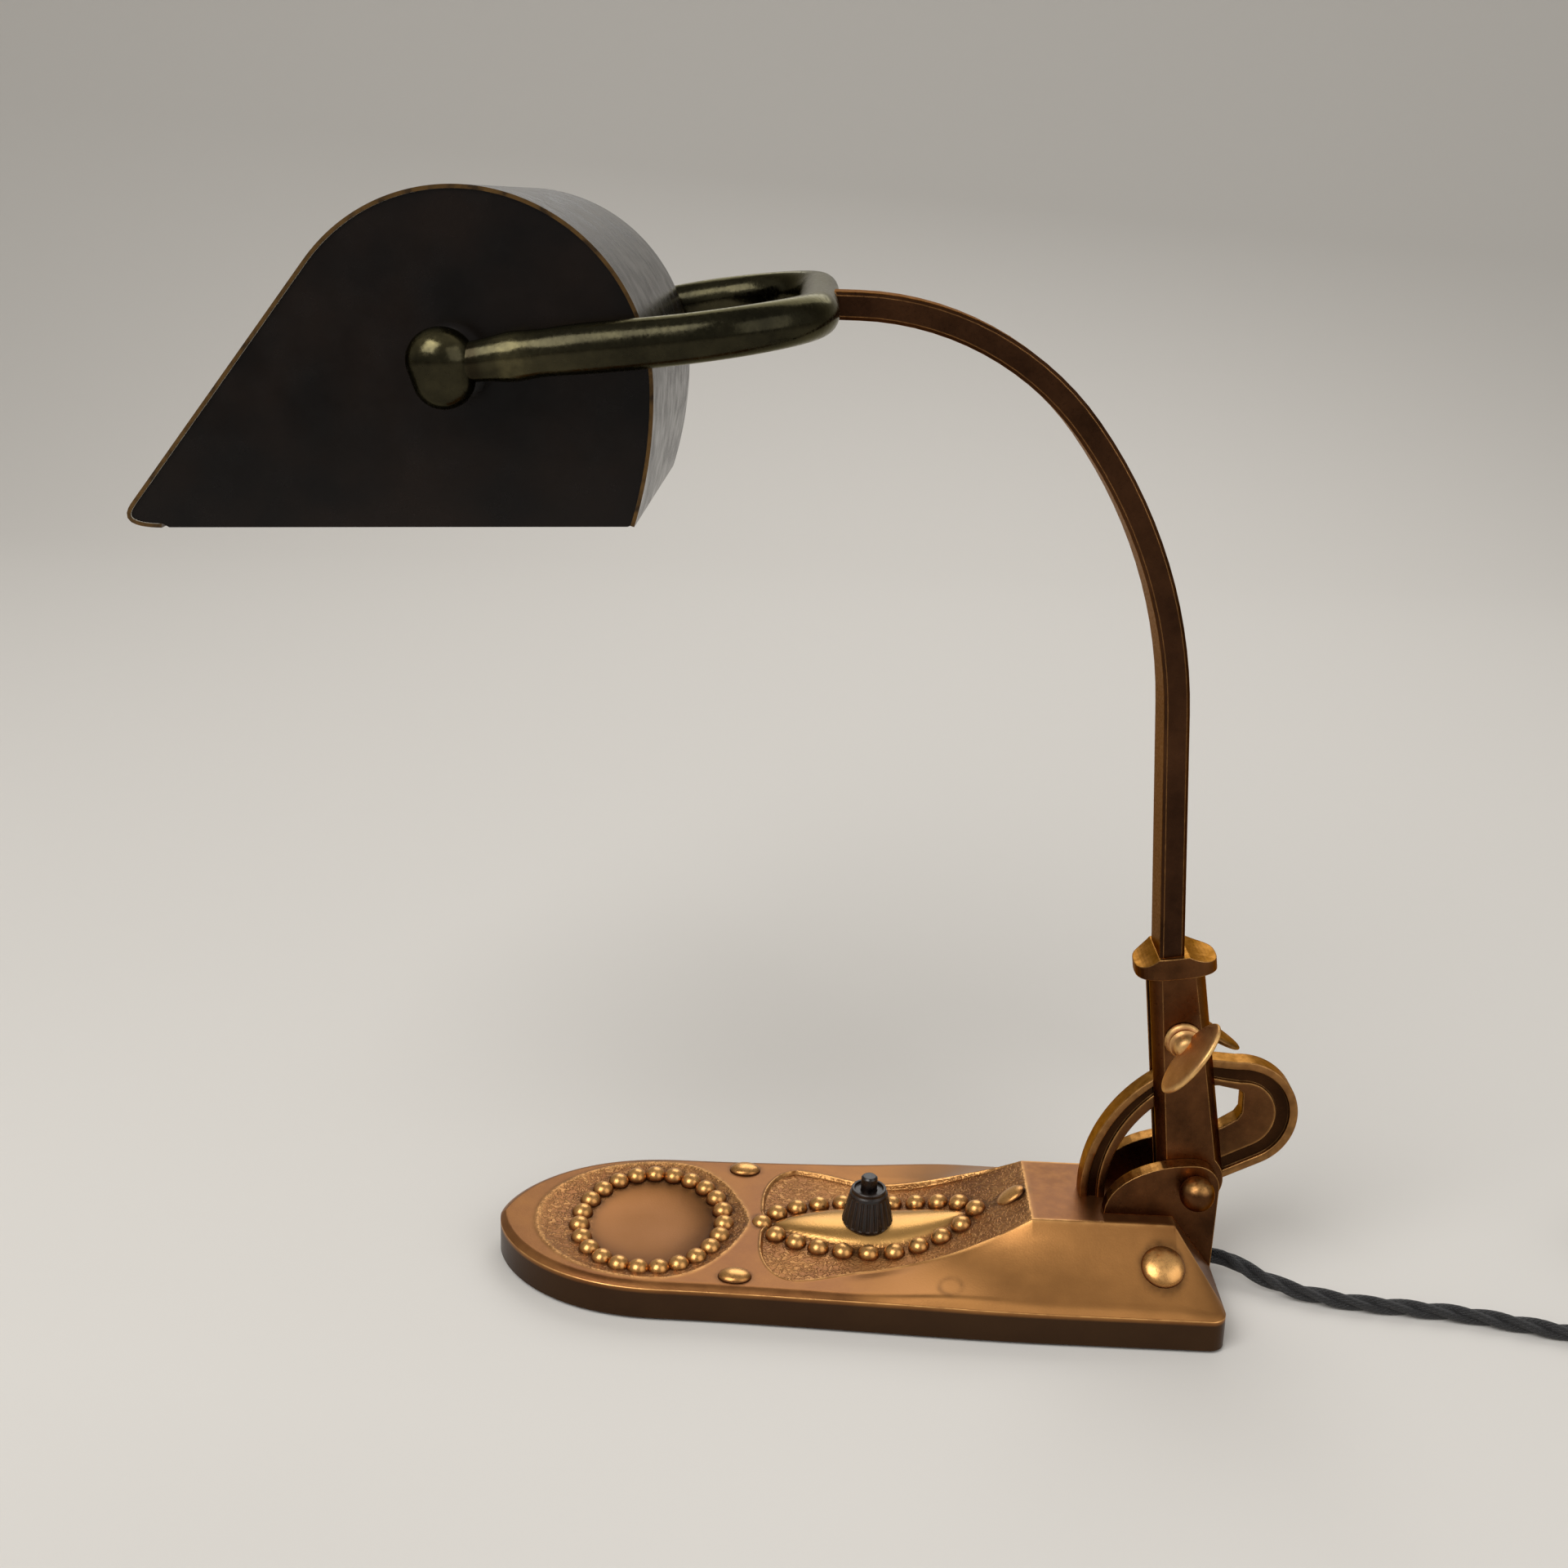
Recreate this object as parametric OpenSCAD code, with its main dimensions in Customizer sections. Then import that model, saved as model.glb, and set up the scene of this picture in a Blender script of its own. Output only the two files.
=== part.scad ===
// Notary desk lamp: a cast base, a clamped leaning arm with a fork, and a tilting shade.
// Millimetres. +Z up, +X towards the back of the base, origin under the middle of the base.

/* [Base] */
// Overall length of the base
base_len = 273; // [266:1:290]
// Width across the rear of the base
base_w = 102; // [98:1:110]
// Width across the front oval of the base
nose_w = 93; // [90:1:98]
// Length of the pointed oval front
nose_len = 68; // [62:1:74]
// Height of the skirt's top edge above the table
skirt_h = 13; // [12:0.5:16]
// How far the skirt leans out at its foot
skirt_draft = 1; // [0.4:0.1:2]
// Rise of the flat ground above the skirt edge
ground_rise = 1.5; // [1:0.1:2.5]
// Rise of the plateau above the skirt edge
plateau_rise = 21; // [18:0.5:24]
// Length of the plateau and its rear slope
plateau_len = 69.5; // [66:0.5:74]
// Width of the plateau
plateau_w = 43; // [40:0.5:48]
// Run of the slope behind the plateau
slope_run = 16.5; // [14:0.5:18]
// Radius of the rear corners
corner_r = 6; // [4:0.5:9]
// Thickness of the felt under the base
felt_t = 1.2; // [0.8:0.1:2]
// Thickness of the bottom plate
plate_t = 2; // [1.5:0.1:2.5]
// Diameter of the bottom plate's screws
screw_d = 4; // [3:0.5:5]

/* [Ornament] */
// Ground left between the nose and the dish
dish_margin = 14.6; // [12:0.2:17]
// Length of the sunk dish
dish_len = 82.4; // [78:0.2:84]
// Width of the sunk dish
dish_w = 83; // [76:0.5:84]
// Depth of the dish at its middle
dish_depth = 3.6; // [2.5:0.1:4.5]
// Length of the oval bead ring between bead centres
ring_len = 56.2; // [50:0.2:60]
// Width of the oval bead ring between bead centres
ring_w = 67.6; // [60:0.2:70]
// Beads in the oval ring
ring_beads = 23; // [16:1:24]
// Diameter of a bead
bead_d = 6.8; // [5:0.1:7.4]
// Depth of the almond panel below its rim
panel_sink = 1.3; // [0.8:0.1:2]
// Width of the panel at its widest
panel_w = 79; // [74:0.5:84]
// Width of the panel beside the switch
panel_waist = 65; // [60:0.5:68]
// Width of the almond row of beads
almond_row_w = 33; // [30:0.5:38]
// Beads in the almond row
almond_beads = 20; // [14:2:20]
// Width of the polished almond under the switch
almond_w = 24; // [22:0.5:25]
// Height of the polished almond
almond_h = 5; // [4:0.1:6]

/* [Switch] */
// Diameter of the bezel's foot
bezel_d = 20; // [18:0.5:22]
// Diameter of the bezel's top ring
bezel_top_d = 13.5; // [12.5:0.5:16]
// Height of the bezel
bezel_h = 15; // [12:0.5:18]
// Flutes round the bezel
bezel_flutes = 20; // [12:1:24]
// Diameter of the push button
button_d = 6.3; // [5:0.1:7]
// How far the button stands out
button_out = 5; // [4:0.5:7]
// Travel of the button
button_travel = 3; // [1.5:0.5:3.5]
// Diameter of the switch body under the base
switch_d = 12; // [10:0.5:13]

/* [Pivot] */
// Height of the pivot above the plateau
pivot_rise = 12.5; // [12.5:0.5:16]
// Distance of the pivot from the back of the base
pivot_back = 9; // [8.5:0.5:11]
// Diameter of the pivot pin
pin_d = 8; // [6:0.5:9]
// Diameter of the ball heads
ball_d = 13; // [11:0.5:15]
// Thickness of a cheek plate
cheek_t = 6; // [5:0.5:6]
// Length of a cheek's arch in front of the pivot
cheek_run = 33; // [28:0.5:38]
// Thickness of the sector
sector_t = 8; // [6:0.5:9]
// Radius of the sector's front arc
sector_r = 59.3; // [59:0.1:60]
// Width of the sector's front band
sector_band = 9.7; // [8:0.1:11]
// Radius of the sector's rear lobe
lobe_r = 22; // [20.5:0.1:22.5]
// Width of the groove on the sector's faces
groove_w = 3.7; // [2.5:0.1:4.5]
// Depth of that groove
groove_depth = 0.8; // [0.4:0.1:1.5]

/* [Arm] */
// Forward lean of the arm at rest, degrees
lean = 9; // [4:1:14]
// Thickness of a post shell across the lamp
shell_t = 5.05; // [4.5:0.05:5.1]
// Radius of the post at its foot
post_r0 = 13; // [12.2:0.1:13.4]
// Radius of the post under the collar
post_r1 = 11; // [10:0.1:11.4]
// Radius of the eye round the pin
eye_r = 11.5; // [9:0.1:12]
// Height of the collar's underside above the pivot
collar_w = 84; // [80:1:92]
// Thickness of the collar
collar_t = 8; // [6:0.5:10]
// Length of the collar's flange
collar_len = 30; // [27:0.5:32]
// Width of the collar's flange
collar_wide = 24; // [23:0.5:26]
// Height of the wing screw above the pivot
screw_w = 58.5; // [58:0.5:62]
// Diameter of the wing screw's shaft
wing_shaft_d = 5; // [4:0.5:5.5]
// Length of the wing screw's blade
wing_len = 32; // [26:1:36]
// Length of the wing nut's blade, which is longer on one side
nut_len = 42; // [36:1:44]
// Reach of a wing blade across the lamp
wing_reach = 16; // [12:0.5:18]
// Thickness of a wing blade
wing_t = 2.6; // [2:0.1:3.5]
// Thickness of the flat arm bar
bar_t = 9; // [8:0.5:11]
// Width of the flat arm bar
bar_w = 20; // [16:0.5:21]
// Length of the straight lower part of the arm bar
bar_len = 95; // [90:1:110]
// Backward lean of the straight part, degrees
bar_lean = 4.4; // [0:0.1:8]
// Radius of the arm's long bend
bend_r1 = 175; // [160:1:190]
// Radius of the arm's upper bend
bend_r2 = 100; // [90:1:110]

/* [Fork] */
// Diameter of the fork's rod
fork_d = 13; // [11:0.5:14]
// Radius of the fork's corners
fork_corner = 35; // [28:0.5:40]
// Distance from the crossbar to the knobs
fork_reach = 110; // [108:0.5:120]
// Gap between a knob and the shade's end
knob_gap = 2.4; // [2:0.1:4]
// Radius of a knob's round top
knob_r = 9.6; // [8.5:0.1:10.4]
// Radius of a knob's round bottom
knob_low_r = 8.7; // [8:0.1:9.4]
// Distance between the knob's two rounds
knob_span = 7.3; // [5:0.1:9]
// Diameter of a shade stud
stud_d = 6; // [5:0.5:7]

/* [Shade] */
// Length of the shade across the lamp
shade_len = 136; // [120:1:150]
// Thickness of the shade's sheet
sheet_t = 1.2; // [0.8:0.1:1.6]
// Radius of the shade's round top
shade_r = 57.8; // [56:0.1:60]
// Radius of the shade's drawn-in back
back_r = 133; // [110:1:180]
// Reach of the shade's front lip in front of its round
lip_reach = 105.4; // [98:0.2:107]
// Depth of the shade's mouth below its pivot
mouth_drop = 49; // [44:0.5:52]
// Front-down tilt of the shade at rest, degrees
tilt = 1.7; // [0:0.1:6]
// Diameter of the bulb
bulb_d = 28; // [22:1:34]
// Length of the bulb's glass
bulb_len = 62; // [50:1:70]

/* [Cord] */
// Diameter of the cord
cord_d = 6.5; // [5:0.1:6.5]
// Radius of the innermost loop of the coil
coil_r = 28; // [27:1:40]
// Loops in the coil
coil_loops = 6; // [4:2:8]
// Diameter of the plug
plug_d = 28; // [26:1:32]
// Length of the plug's body
plug_len = 30; // [26:1:38]

/* [Hidden] */
// Clearance of a running fit, on the radius
run_gap = 0.05;
// Clearance between flat faces that slide on each other
slide_gap = 0.15;
// Clearance of a piece that is seated for good
seat_gap = 0.02;
nose_x = -base_len / 2;
back_x = base_len / 2;
nose_end = nose_x + nose_len;
ground_z = skirt_h + ground_rise;
plateau_z = skirt_h + plateau_rise;
plateau_x0 = back_x - plateau_len;
plateau_x1 = back_x - slope_run;
dish_x0 = nose_x + dish_margin;
dish_x1 = dish_x0 + dish_len;
dish_mid = dish_x0 + dish_len * 0.57;
ring_x = dish_x0 + dish_len * 0.54;
panel_x0 = dish_x1 + 4.9;
panel_x1 = panel_x0 + 7.8;
switch_x = panel_x0 + 41;
sweep_x = switch_x + 12;
panel_z = ground_z - panel_sink;
almond_x0 = panel_x0 + 3.4;
almond_x1 = plateau_x0 - 25.5;
row_x0 = panel_x0;
row_x1 = plateau_x0 - 18.8;
seat_z = panel_z + almond_h * 0.7;
cavity_z = felt_t + plate_t + 4;
pivot_x = back_x - pivot_back;
pivot_z = plateau_z + pivot_rise;
post_in = sector_t / 2 + slide_gap;
post_out = post_in + shell_t;
cheek_in = post_out + slide_gap;
cheek_out = cheek_in + cheek_t;
arc_x = pivot_x + 18.3;
arc_z = pivot_z - 9;
lobe_x = pivot_x + 16;
lobe_z = pivot_z + 25;
foot_x = arc_x - sector_r;
slot_z = plateau_z - 10;
collar_top = collar_w + collar_t;
bar_u = -2.4;
bar_end_u = bar_u + bar_len * sin(bar_lean);
bar_end_w = collar_w + 4 + bar_len * cos(bar_lean);
turn1 = 34.4;
turn2 = 51;
head1 = 90 - bar_lean;
head2 = head1 + turn1;
head3 = head2 + turn2;
mid_u = bar_end_u + bend_r1 * (sin(head2) - sin(head1));
mid_w = bar_end_w + bend_r1 * (cos(head1) - cos(head2));
top_u = mid_u + bend_r2 * (sin(head3) - sin(head2));
top_w = mid_w + bend_r2 * (cos(head2) - cos(head3));
neck = 7;
fork_u = top_u + (neck + fork_d / 2) * cos(head3);
fork_w = top_w + (neck + fork_d / 2) * sin(head3);
knob_y = shade_len / 2 + knob_gap + knob_r;
knob_u = fork_u - fork_reach;
shade_x = pivot_x + knob_u * cos(lean) - fork_w * sin(lean);
shade_z = pivot_z + knob_u * sin(lean) + fork_w * cos(lean);
round_a = 2.9;
round_b = -7.3;
back_turn = asin((mouth_drop + round_b) / back_r);
lip_a = round_a - lip_reach;
lip_b = -mouth_drop + 4;
lip_far = norm([lip_a - round_a, lip_b - round_b]);
front_angle = atan2(lip_b - round_b, lip_a - round_a) + 360 - acos(shade_r / lip_far);
plate_y = shade_len / 2;
bulb_a = -20;
bulb_b = -14;
cord_z = 8.2;
bush_d = cord_d + 2;
floor_z = cord_d / 2 + 0.05;
coil_pitch = cord_d + 0.5;
coil_x = 356;
coil_y = 10;
coil_out = coil_r + coil_pitch * coil_loops / 2;
lead_y = coil_y - coil_out;
plug_x = coil_x + 62;
plug_y = lead_y - 11;
plug_z = plug_d / 2;
pin_side = 9.5;
pin_wide = 4.8;
pin_in = 8;
pin_long = 26;
lead_path = [
    [back_x + 2.5, 0, cord_z], [back_x + 9.5, -1, cord_z], [153, -5, 6.4], [161, -10, 5], [172, -15, 3.8],
    [190, -19.5, floor_z], [211, -22, floor_z], [231, -24.5, floor_z], [250, -29, floor_z],
    [266, -33, floor_z], [284, -36.5, floor_z], [305, -38.6, floor_z], [330, lead_y, floor_z],
    [coil_x - cord_d, lead_y, floor_z], [coil_x, lead_y, floor_z]
];
tail_z = floor_z + coil_pitch;
tail_path = [
    [coil_x, lead_y, tail_z], [coil_x + cord_d, lead_y, tail_z], [coil_x + 20, lead_y - 2.5, 9.5],
    [coil_x + 34, lead_y - 6, 10.5], [coil_x + 46, lead_y - 9.5, 12.8],
    [plug_x - cord_d, plug_y, plug_z], [plug_x, plug_y, plug_z]
];
$fn = 48;

// Eased step from 0 to 1
function ease(t) = let(u = max(0, min(1, t))) u * u * (3 - 2 * u);
// Part of a run that has been covered, from 0 to 1
function part(x, a, b) = max(0, min(1, (x - a) / (b - a)));
// Half width of a pointed oval at share u of its length from the widest place
function oval(u) = pow(max(0, 1 - pow(min(1, abs(u)), 2.3)), 0.78);

// Half width of the base's top edge at x
function skirt_y(x) =
    x < nose_end ? nose_w / 2 * oval((nose_end - x) / nose_len) :
    x < back_x - corner_r ? nose_w / 2 + (base_w - nose_w) / 2 * ease(part(x, nose_end, plateau_x0 + 9)) :
    base_w / 2 - corner_r + sqrt(max(0, pow(corner_r, 2) - pow(x - back_x + corner_r, 2)));
// Half width of the panel, the plateau or the rear slope at x
function rim_y(x) =
    x < panel_x0 ? 0.6 * skirt_y(x) :
    lookup(x, [
        [panel_x0, panel_w * 0.30], [panel_x0 + 2, panel_w * 0.42], [panel_x1, panel_w / 2],
        [panel_x1 + 8, panel_w / 2 - 0.5], [switch_x - 4, panel_waist / 2],
        [plateau_x0, plateau_w / 2], [plateau_x1, plateau_w / 2],
        [back_x, base_w / 2 - corner_r - 3]
    ]);
// Height of that rim at x
function rim_z(x) =
    x < plateau_x1 ? ground_z + (plateau_z - ground_z) * pow(part(x, switch_x, plateau_x0), 1.6) :
    plateau_z - plateau_rise * part(x, plateau_x1, back_x);
// Height of the panel's floor at x
function floor_h(x) =
    x < panel_x0 || x >= plateau_x0 ? rim_z(x) :
    panel_z + (plateau_z - panel_z) * pow(part(x, sweep_x, plateau_x0), 1.9);
// Half width of the polished almond at x
function almond_y(x) =
    let(m = (almond_x0 + almond_x1) / 2, u = (x - m) / (almond_x1 - m))
    abs(u) < 1 ? max(1, almond_w / 2 * (1 - u * u)) : 1;
// Height of the almond above the floor at x and share v of its half width
function almond_up(x, v) =
    x > almond_x0 && x < almond_x1 ? almond_h * (1 - pow(v, 4)) * almond_y(x) * 2 / almond_w : 0;
// Drop of the flank from that rim to just above the skirt's edge at x
function fall(x) = let(d = rim_z(x) - skirt_h) d - min(1, d / 2);
// Half of a cross section of the base, from the middle of its top down to its foot
function half_section(x) = let(s = skirt_y(x), r = rim_y(x), a = almond_y(x), f = floor_h(x)) [
    for (v = [0, 0.5, 0.8, 1])
        [x < panel_x0 || x > plateau_x0 ? v * r * 0.5 : v * a, f + almond_up(x, v)],
    [r - min(1, r * 0.1), f],
    [r, rim_z(x)],
    [max(s - 3, (s + r) / 2), rim_z(x) - fall(x) * 0.93 * ease(part(x, switch_x - 20, plateau_x0))],
    [s, skirt_h],
    [s + skirt_draft, felt_t]
];
// Whole cross section, round from the middle of the top
function section(x) = let(h = half_section(x), n = len(h)) [
    for (p = h) [x, p[0], p[1]],
    for (i = [n - 1:-1:1]) [x, -h[i][0], h[i][1]]
];
// Places along the base where a cross section is taken
function stations() = [
    for (k = [0:11]) nose_end - nose_len * (k == 0 ? 0.995 : 1 - pow((k + 0.5) / 12.5, 1.7)),
    for (k = [0:3]) nose_end + (panel_x0 - 0.3 - nose_end) * k / 3,
    panel_x0,
    panel_x0 + 1,
    panel_x0 + 2,
    panel_x0 + 4.5,
    for (k = [0:22]) panel_x1 + (plateau_x0 - panel_x1) * k / 23,
    plateau_x0,
    (plateau_x0 + plateau_x1) / 2,
    plateau_x1,
    for (k = [1:6]) back_x - corner_r * (1 - sin(90 * k / 6)) - (k == 1 ? 2 : 0)
];
// Closed skin over a list of rings with the same number of points, with a fan over each end
function skin_faces(rings, sides) = [
    for (i = [0:rings - 2], j = [0:sides - 1])
        each let(a = i * sides + j, b = i * sides + (j + 1) % sides)
            [[a, b, b + sides], [a, b + sides, a + sides]],
    for (j = [0:sides - 1]) let(k = (j + 1) % sides, last = (rings - 1) * sides)
        each [[k, j, rings * sides], [last + j, last + k, rings * sides + 1]]
];
// Mean point of a ring
function middle(ring) = [for (a = [0:2]) ([for (q = ring) q[a]] * [for (q = ring) 1]) / len(ring)];
module skin(rings) {
    last = len(rings) - 1;
    polyhedron(
        points = concat([for (r = rings) each r], [middle(rings[0]), middle(rings[last])]),
        faces = skin_faces(len(rings), len(rings[0])),
        convexity = 6
    );
}
// Dome over an oval: height h at its middle, power p, with a flat foot at z
module dome(len_x, wide, h, p, z, rings = 6, sides = 24) {
    levels = [
        for (k = [0:rings - 1]) let(r = 1 - k / rings)
            [for (j = [0:sides - 1]) let(t = 360 * j / sides)
                [r * len_x / 2 * cos(t), r * wide / 2 * sin(t), h * (1 - pow(r, p))]]
    ];
    foot = [for (q = levels[0]) [q[0], q[1], z]];
    tip = [for (j = [0:sides - 1]) let(t = 360 * j / sides)
        [0.02 * len_x * cos(t), 0.02 * wide * sin(t), h]];
    skin(concat([tip], [for (k = [rings - 1:-1:0]) levels[k]], [foot]));
}
// Plan of the base drawn in by a margin
function plan(margin) = let(kx = 1 - margin * 2 / base_len, ky = 1 - margin * 2 / base_w, s = stations()) [
    for (x = s) [x * kx, -skirt_y(x) * ky],
    for (i = [len(s) - 1:-1:0]) [s[i] * kx, skirt_y(s[i]) * ky]
];
// Outline of the dish, pointed towards the switch
function dish_outline(k) = [
    for (t = [0:7.5:352.5]) let(c = cos(t), s = sin(t),
        x = c > 0 ? c * (dish_x1 - dish_mid) : c * (dish_mid - dish_x0),
        y = c > 0 ? sign(s) * dish_w / 2 * oval(c) : s * dish_w / 2)
        [dish_mid + k * x, k * y]
];
module dish_cut() {
    shares = [1, 0.94, 0.86, 0.76, 0.64, 0.5, 0.34, 0.17, 0.03];
    top = [for (p = dish_outline(1)) [p[0], p[1], ground_z + 2]];
    rings = [for (k = shares) [for (p = dish_outline(k)) [p[0], p[1], ground_z - dish_depth * (1 - pow(k, 3))]]];
    skin(concat([top], rings));
}
// Height of the dish's floor at a place on the long axis or across it
function dish_z(x, y) = let(
    ux = x > dish_mid ? (x - dish_mid) / (dish_x1 - dish_mid) : (dish_mid - x) / (dish_mid - dish_x0),
    k = min(1, norm([ux, 2 * y / dish_w])))
    ground_z - dish_depth * (1 - pow(k, 3));
// Place of a bead on the almond row, t from 0 to 1 round the row
function row_point(t) = let(m = (row_x0 + row_x1) / 2, h = (row_x1 - row_x0) / 2, c = 1 - 4 * abs(t - 0.5),
    u = -sign(c) * (1 - pow(1 - abs(c), 0.92)), s = t < 0.5 ? 1 : -1)
    [m + h * u, s * almond_row_w / 2 * pow(1 - u * u, 0.8)];
// Slope of the flank beside the plateau, degrees
flank_y = plateau_w / 2;
flank_slope = atan2(plateau_rise, base_w / 2 - flank_y);
module ornament() {
    for (i = [0:ring_beads - 1]) let(t = 360 * i / ring_beads, x = ring_x + ring_len / 2 * cos(t), y = ring_w / 2 * sin(t))
        translate([x, y, dish_z(x, y)])
            sphere(d = bead_d, $fn = 24);
    for (i = [0:almond_beads - 1]) let(p = row_point(i / almond_beads))
        translate([p[0], p[1], floor_h(p[0])])
            sphere(d = bead_d, $fn = 24);
    for (s = [-1, 1]) {
        translate([dish_x1 - 3.5, s * 38.4, ground_z])
            dome(12.6, 9.5, 2.6, 2, -2);
        translate([plateau_x1 - 5.6, s * 35, plateau_z - (35 - flank_y) * tan(flank_slope)])
            rotate([s * -flank_slope, 0, 0])
                translate([0, 0, -8.6])
                    sphere(r = 11.8);
    }
    translate([plateau_x0 - 6, 0, floor_h(plateau_x0 - 6)])
        rotate([0, -38, 0])
            dome(11, 8, 2, 2, -2);
}
module base_casting() {
    color("peru")
        difference() {
            union() {
                difference() {
                    skin([for (x = stations()) section(x)]);
                    dish_cut();
                }
                ornament();
            }
            translate([0, 0, -1])
                linear_extrude(felt_t + plate_t + 1)
                    polygon(plan(3));
            translate([0, 0, 1])
                linear_extrude(cavity_z - 1)
                    polygon(plan(9));
            translate([switch_x, 0, 0])
                cylinder(d = switch_d + 2 * seat_gap, h = 60);
            translate([switch_x, 0, seat_z])
                cylinder(d = bezel_d + 2 * seat_gap, h = 20);
            translate([foot_x - 1, -sector_t / 2 - seat_gap, slot_z])
                cube([sector_band + 3.5, sector_t + 2 * seat_gap, 20]);
            translate([back_x - 20, 0, cord_z])
                rotate([0, 90, 0])
                    cylinder(d = bush_d, h = 40);
            translate([plateau_x1 - 30, -14, 1])
                cube([32, 28, 12]);
            bottom_places()
                cylinder(d = screw_d, h = felt_t + plate_t + 6.5);
        }
}
module bottom_places() {
    for (x = [nose_x + 16, back_x - 20], s = [-1, 1])
        translate([x, s * (x < 0 ? 8 : 35), 0])
            children();
}
module bottom_plate() {
    color("dimgray")
        difference() {
            translate([0, 0, felt_t])
                linear_extrude(plate_t)
                    polygon(plan(3.2));
            bottom_places()
                cylinder(d = screw_d + 0.4, h = 20);
        }
}
module felt_pad() {
    color("black")
        linear_extrude(felt_t)
            polygon(plan(1.5));
}
module bottom_screws() {
    color("gray")
        bottom_places()
            translate([0, 0, felt_t])
                cylinder(d = screw_d - 2 * seat_gap, h = plate_t + 6);
}
module switch_bezel() {
    r0 = bezel_d / 2;
    r1 = bezel_top_d / 2;
    color("#2b1d18")
        translate([switch_x, 0, seat_z])
            difference() {
                rotate_extrude()
                    polygon([
                        [button_d / 2 + run_gap, 0], [r0, 0], [r0, 1], [r1 + 0.5, bezel_h - 2], [r1, bezel_h - 1.6],
                        [r1, bezel_h - 0.3], [r1 - 0.3, bezel_h], [r1 - 1.1, bezel_h], [r1 - 1.4, bezel_h - 1],
                        [button_d / 2 + run_gap, bezel_h - 1]
                    ]);
                for (i = [0:bezel_flutes - 1])
                    rotate([0, 0, 360 * i / bezel_flutes])
                        translate([r0 + 0.35, 0, 0])
                            rotate([0, -atan2(r0 - r1 - 0.5, bezel_h - 3), 0])
                                translate([0, 0, 1])
                                    cylinder(d = 1.4, h = bezel_h - 4, $fn = 16);
            }
}
module switch_body() {
    color("#30241f")
        translate([switch_x, 0, felt_t + plate_t + 0.3])
            cylinder(d = switch_d, h = seat_z - felt_t - plate_t - 0.3);
}
module switch_nut() {
    color("silver")
        translate([switch_x, 0, cavity_z - 3.2])
            difference() {
                cylinder(d = switch_d + 6, h = 3.2, $fn = 6);
                translate([0, 0, -1])
                    cylinder(d = switch_d + 2 * seat_gap, h = 6);
            }
}
module push_button() {
    low = button_travel + 0.3;
    top = bezel_h - 1 + button_out + 1;
    r = button_d / 2;
    color("#3a2c28")
        translate([switch_x, 0, seat_z])
            rotate_extrude()
                polygon([[0, low], [r, low], [r, top - 0.7], [r - 0.7, top], [0, top]]);
}
// Outline of a cheek in XZ: arch in front, round over the pivot, foot on the plateau and slope
function cheek_outline() = concat(
    [for (t = [90:7.5:180]) [pivot_x + cheek_run * cos(t), plateau_z + (pivot_rise + pivot_back) * sin(t)]],
    [[plateau_x1, plateau_z], [back_x, skirt_h]],
    [for (t = [0:10:80]) [pivot_x + pivot_back * cos(t), pivot_z + pivot_back * sin(t)]]
);
module cheek() {
    translate([0, cheek_out, 0])
        rotate([90, 0, 0])
            difference() {
                linear_extrude(cheek_t)
                    polygon(cheek_outline());
                translate([pivot_x, pivot_z, -1])
                    cylinder(d = pin_d + 2 * seat_gap, h = cheek_t + 2);
            }
}
module cheek_near() {
    color("saddlebrown")
        mirror([0, 1, 0])
            cheek();
}
module cheek_far() {
    color("saddlebrown")
        cheek();
}
// Slice of a flat ring about (x, z) in the XZ plane, from angle a0 for da degrees, between y0 and y1
module ring_slice(x, z, r0, r1, a0, da, y0, y1) {
    translate([x, y1, z])
        rotate([90, 0, 0])
            rotate([0, 0, a0])
                rotate_extrude(angle = da, $fn = 96)
                    translate([r0, 0])
                        square([r1 - r0, y1 - y0]);
}
// Points on an arc about (x, z), from angle a to angle b
function arc(x, z, r, a, b, n) = [
    for (k = [0:n]) let(t = a + (b - a) * k / n) [x + r * cos(t), z + r * sin(t)]
];
// Outline of the sector in XZ: front band, rear lobe, eye on the pin, and back round the window
function sector_outline() = let(foot = 180 + asin((arc_z - slot_z) / sector_r)) concat(
    arc(arc_x, arc_z, sector_r, foot, 107, 22),
    arc(lobe_x, lobe_z, lobe_r, 96, -36, 24),
    arc(pivot_x, pivot_z, eye_r - 1.5, -11, -210, 20),
    [for (p = window) [lobe_x + p[0], lobe_z + p[1]]],
    arc(arc_x, arc_z, sector_r - sector_band, 117, foot, 20)
);
// Edge of the window in the sector, from the lobe's middle
window = [[-23, -11.6], [-5.8, -5.5], [-0.5, -1.7], [1, 1], [0.7, 9], [-1, 10.5], [-9.1, 12]];
// Groove round the lobe, in from its edge, with straight runs to the post
function lobe_line(r) = concat(
    [[lobe_x - 13, lobe_z + r]],
    arc(lobe_x, lobe_z, r, 90, -42, 18),
    [[lobe_x + r * cos(-42) - 14, lobe_z + r * sin(-42) - 8.2]]
);
module sector() {
    h = sector_t / 2;
    mid = sector_r - sector_band / 2;
    rim = lobe_r - 4.2;
    color("#6b4a2e")
        difference() {
            translate([0, h, 0])
                rotate([90, 0, 0])
                    linear_extrude(sector_t)
                        polygon(sector_outline());
            translate([pivot_x, h + 1, pivot_z])
                rotate([90, 0, 0])
                    cylinder(d = pin_d + 2 * seat_gap, h = sector_t + 2);
            for (y = [-h - 1, h - groove_depth]) {
                z = y + groove_depth + 1;
                ring_slice(arc_x, arc_z, mid - groove_w / 2, mid + groove_w / 2, 122.5, 51.5, y, z);
                translate([0, z, 0])
                    rotate([90, 0, 0])
                        linear_extrude(groove_depth + 1)
                            polygon(concat(lobe_line(rim), reversed(lobe_line(rim - groove_w))));
            }
        }
}
module ball_head() {
    difference() {
        translate([0, 0, cheek_out + ball_d / 2 - 2.2])
            sphere(d = ball_d);
        cylinder(r = ball_d, h = cheek_out);
    }
}
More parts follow.
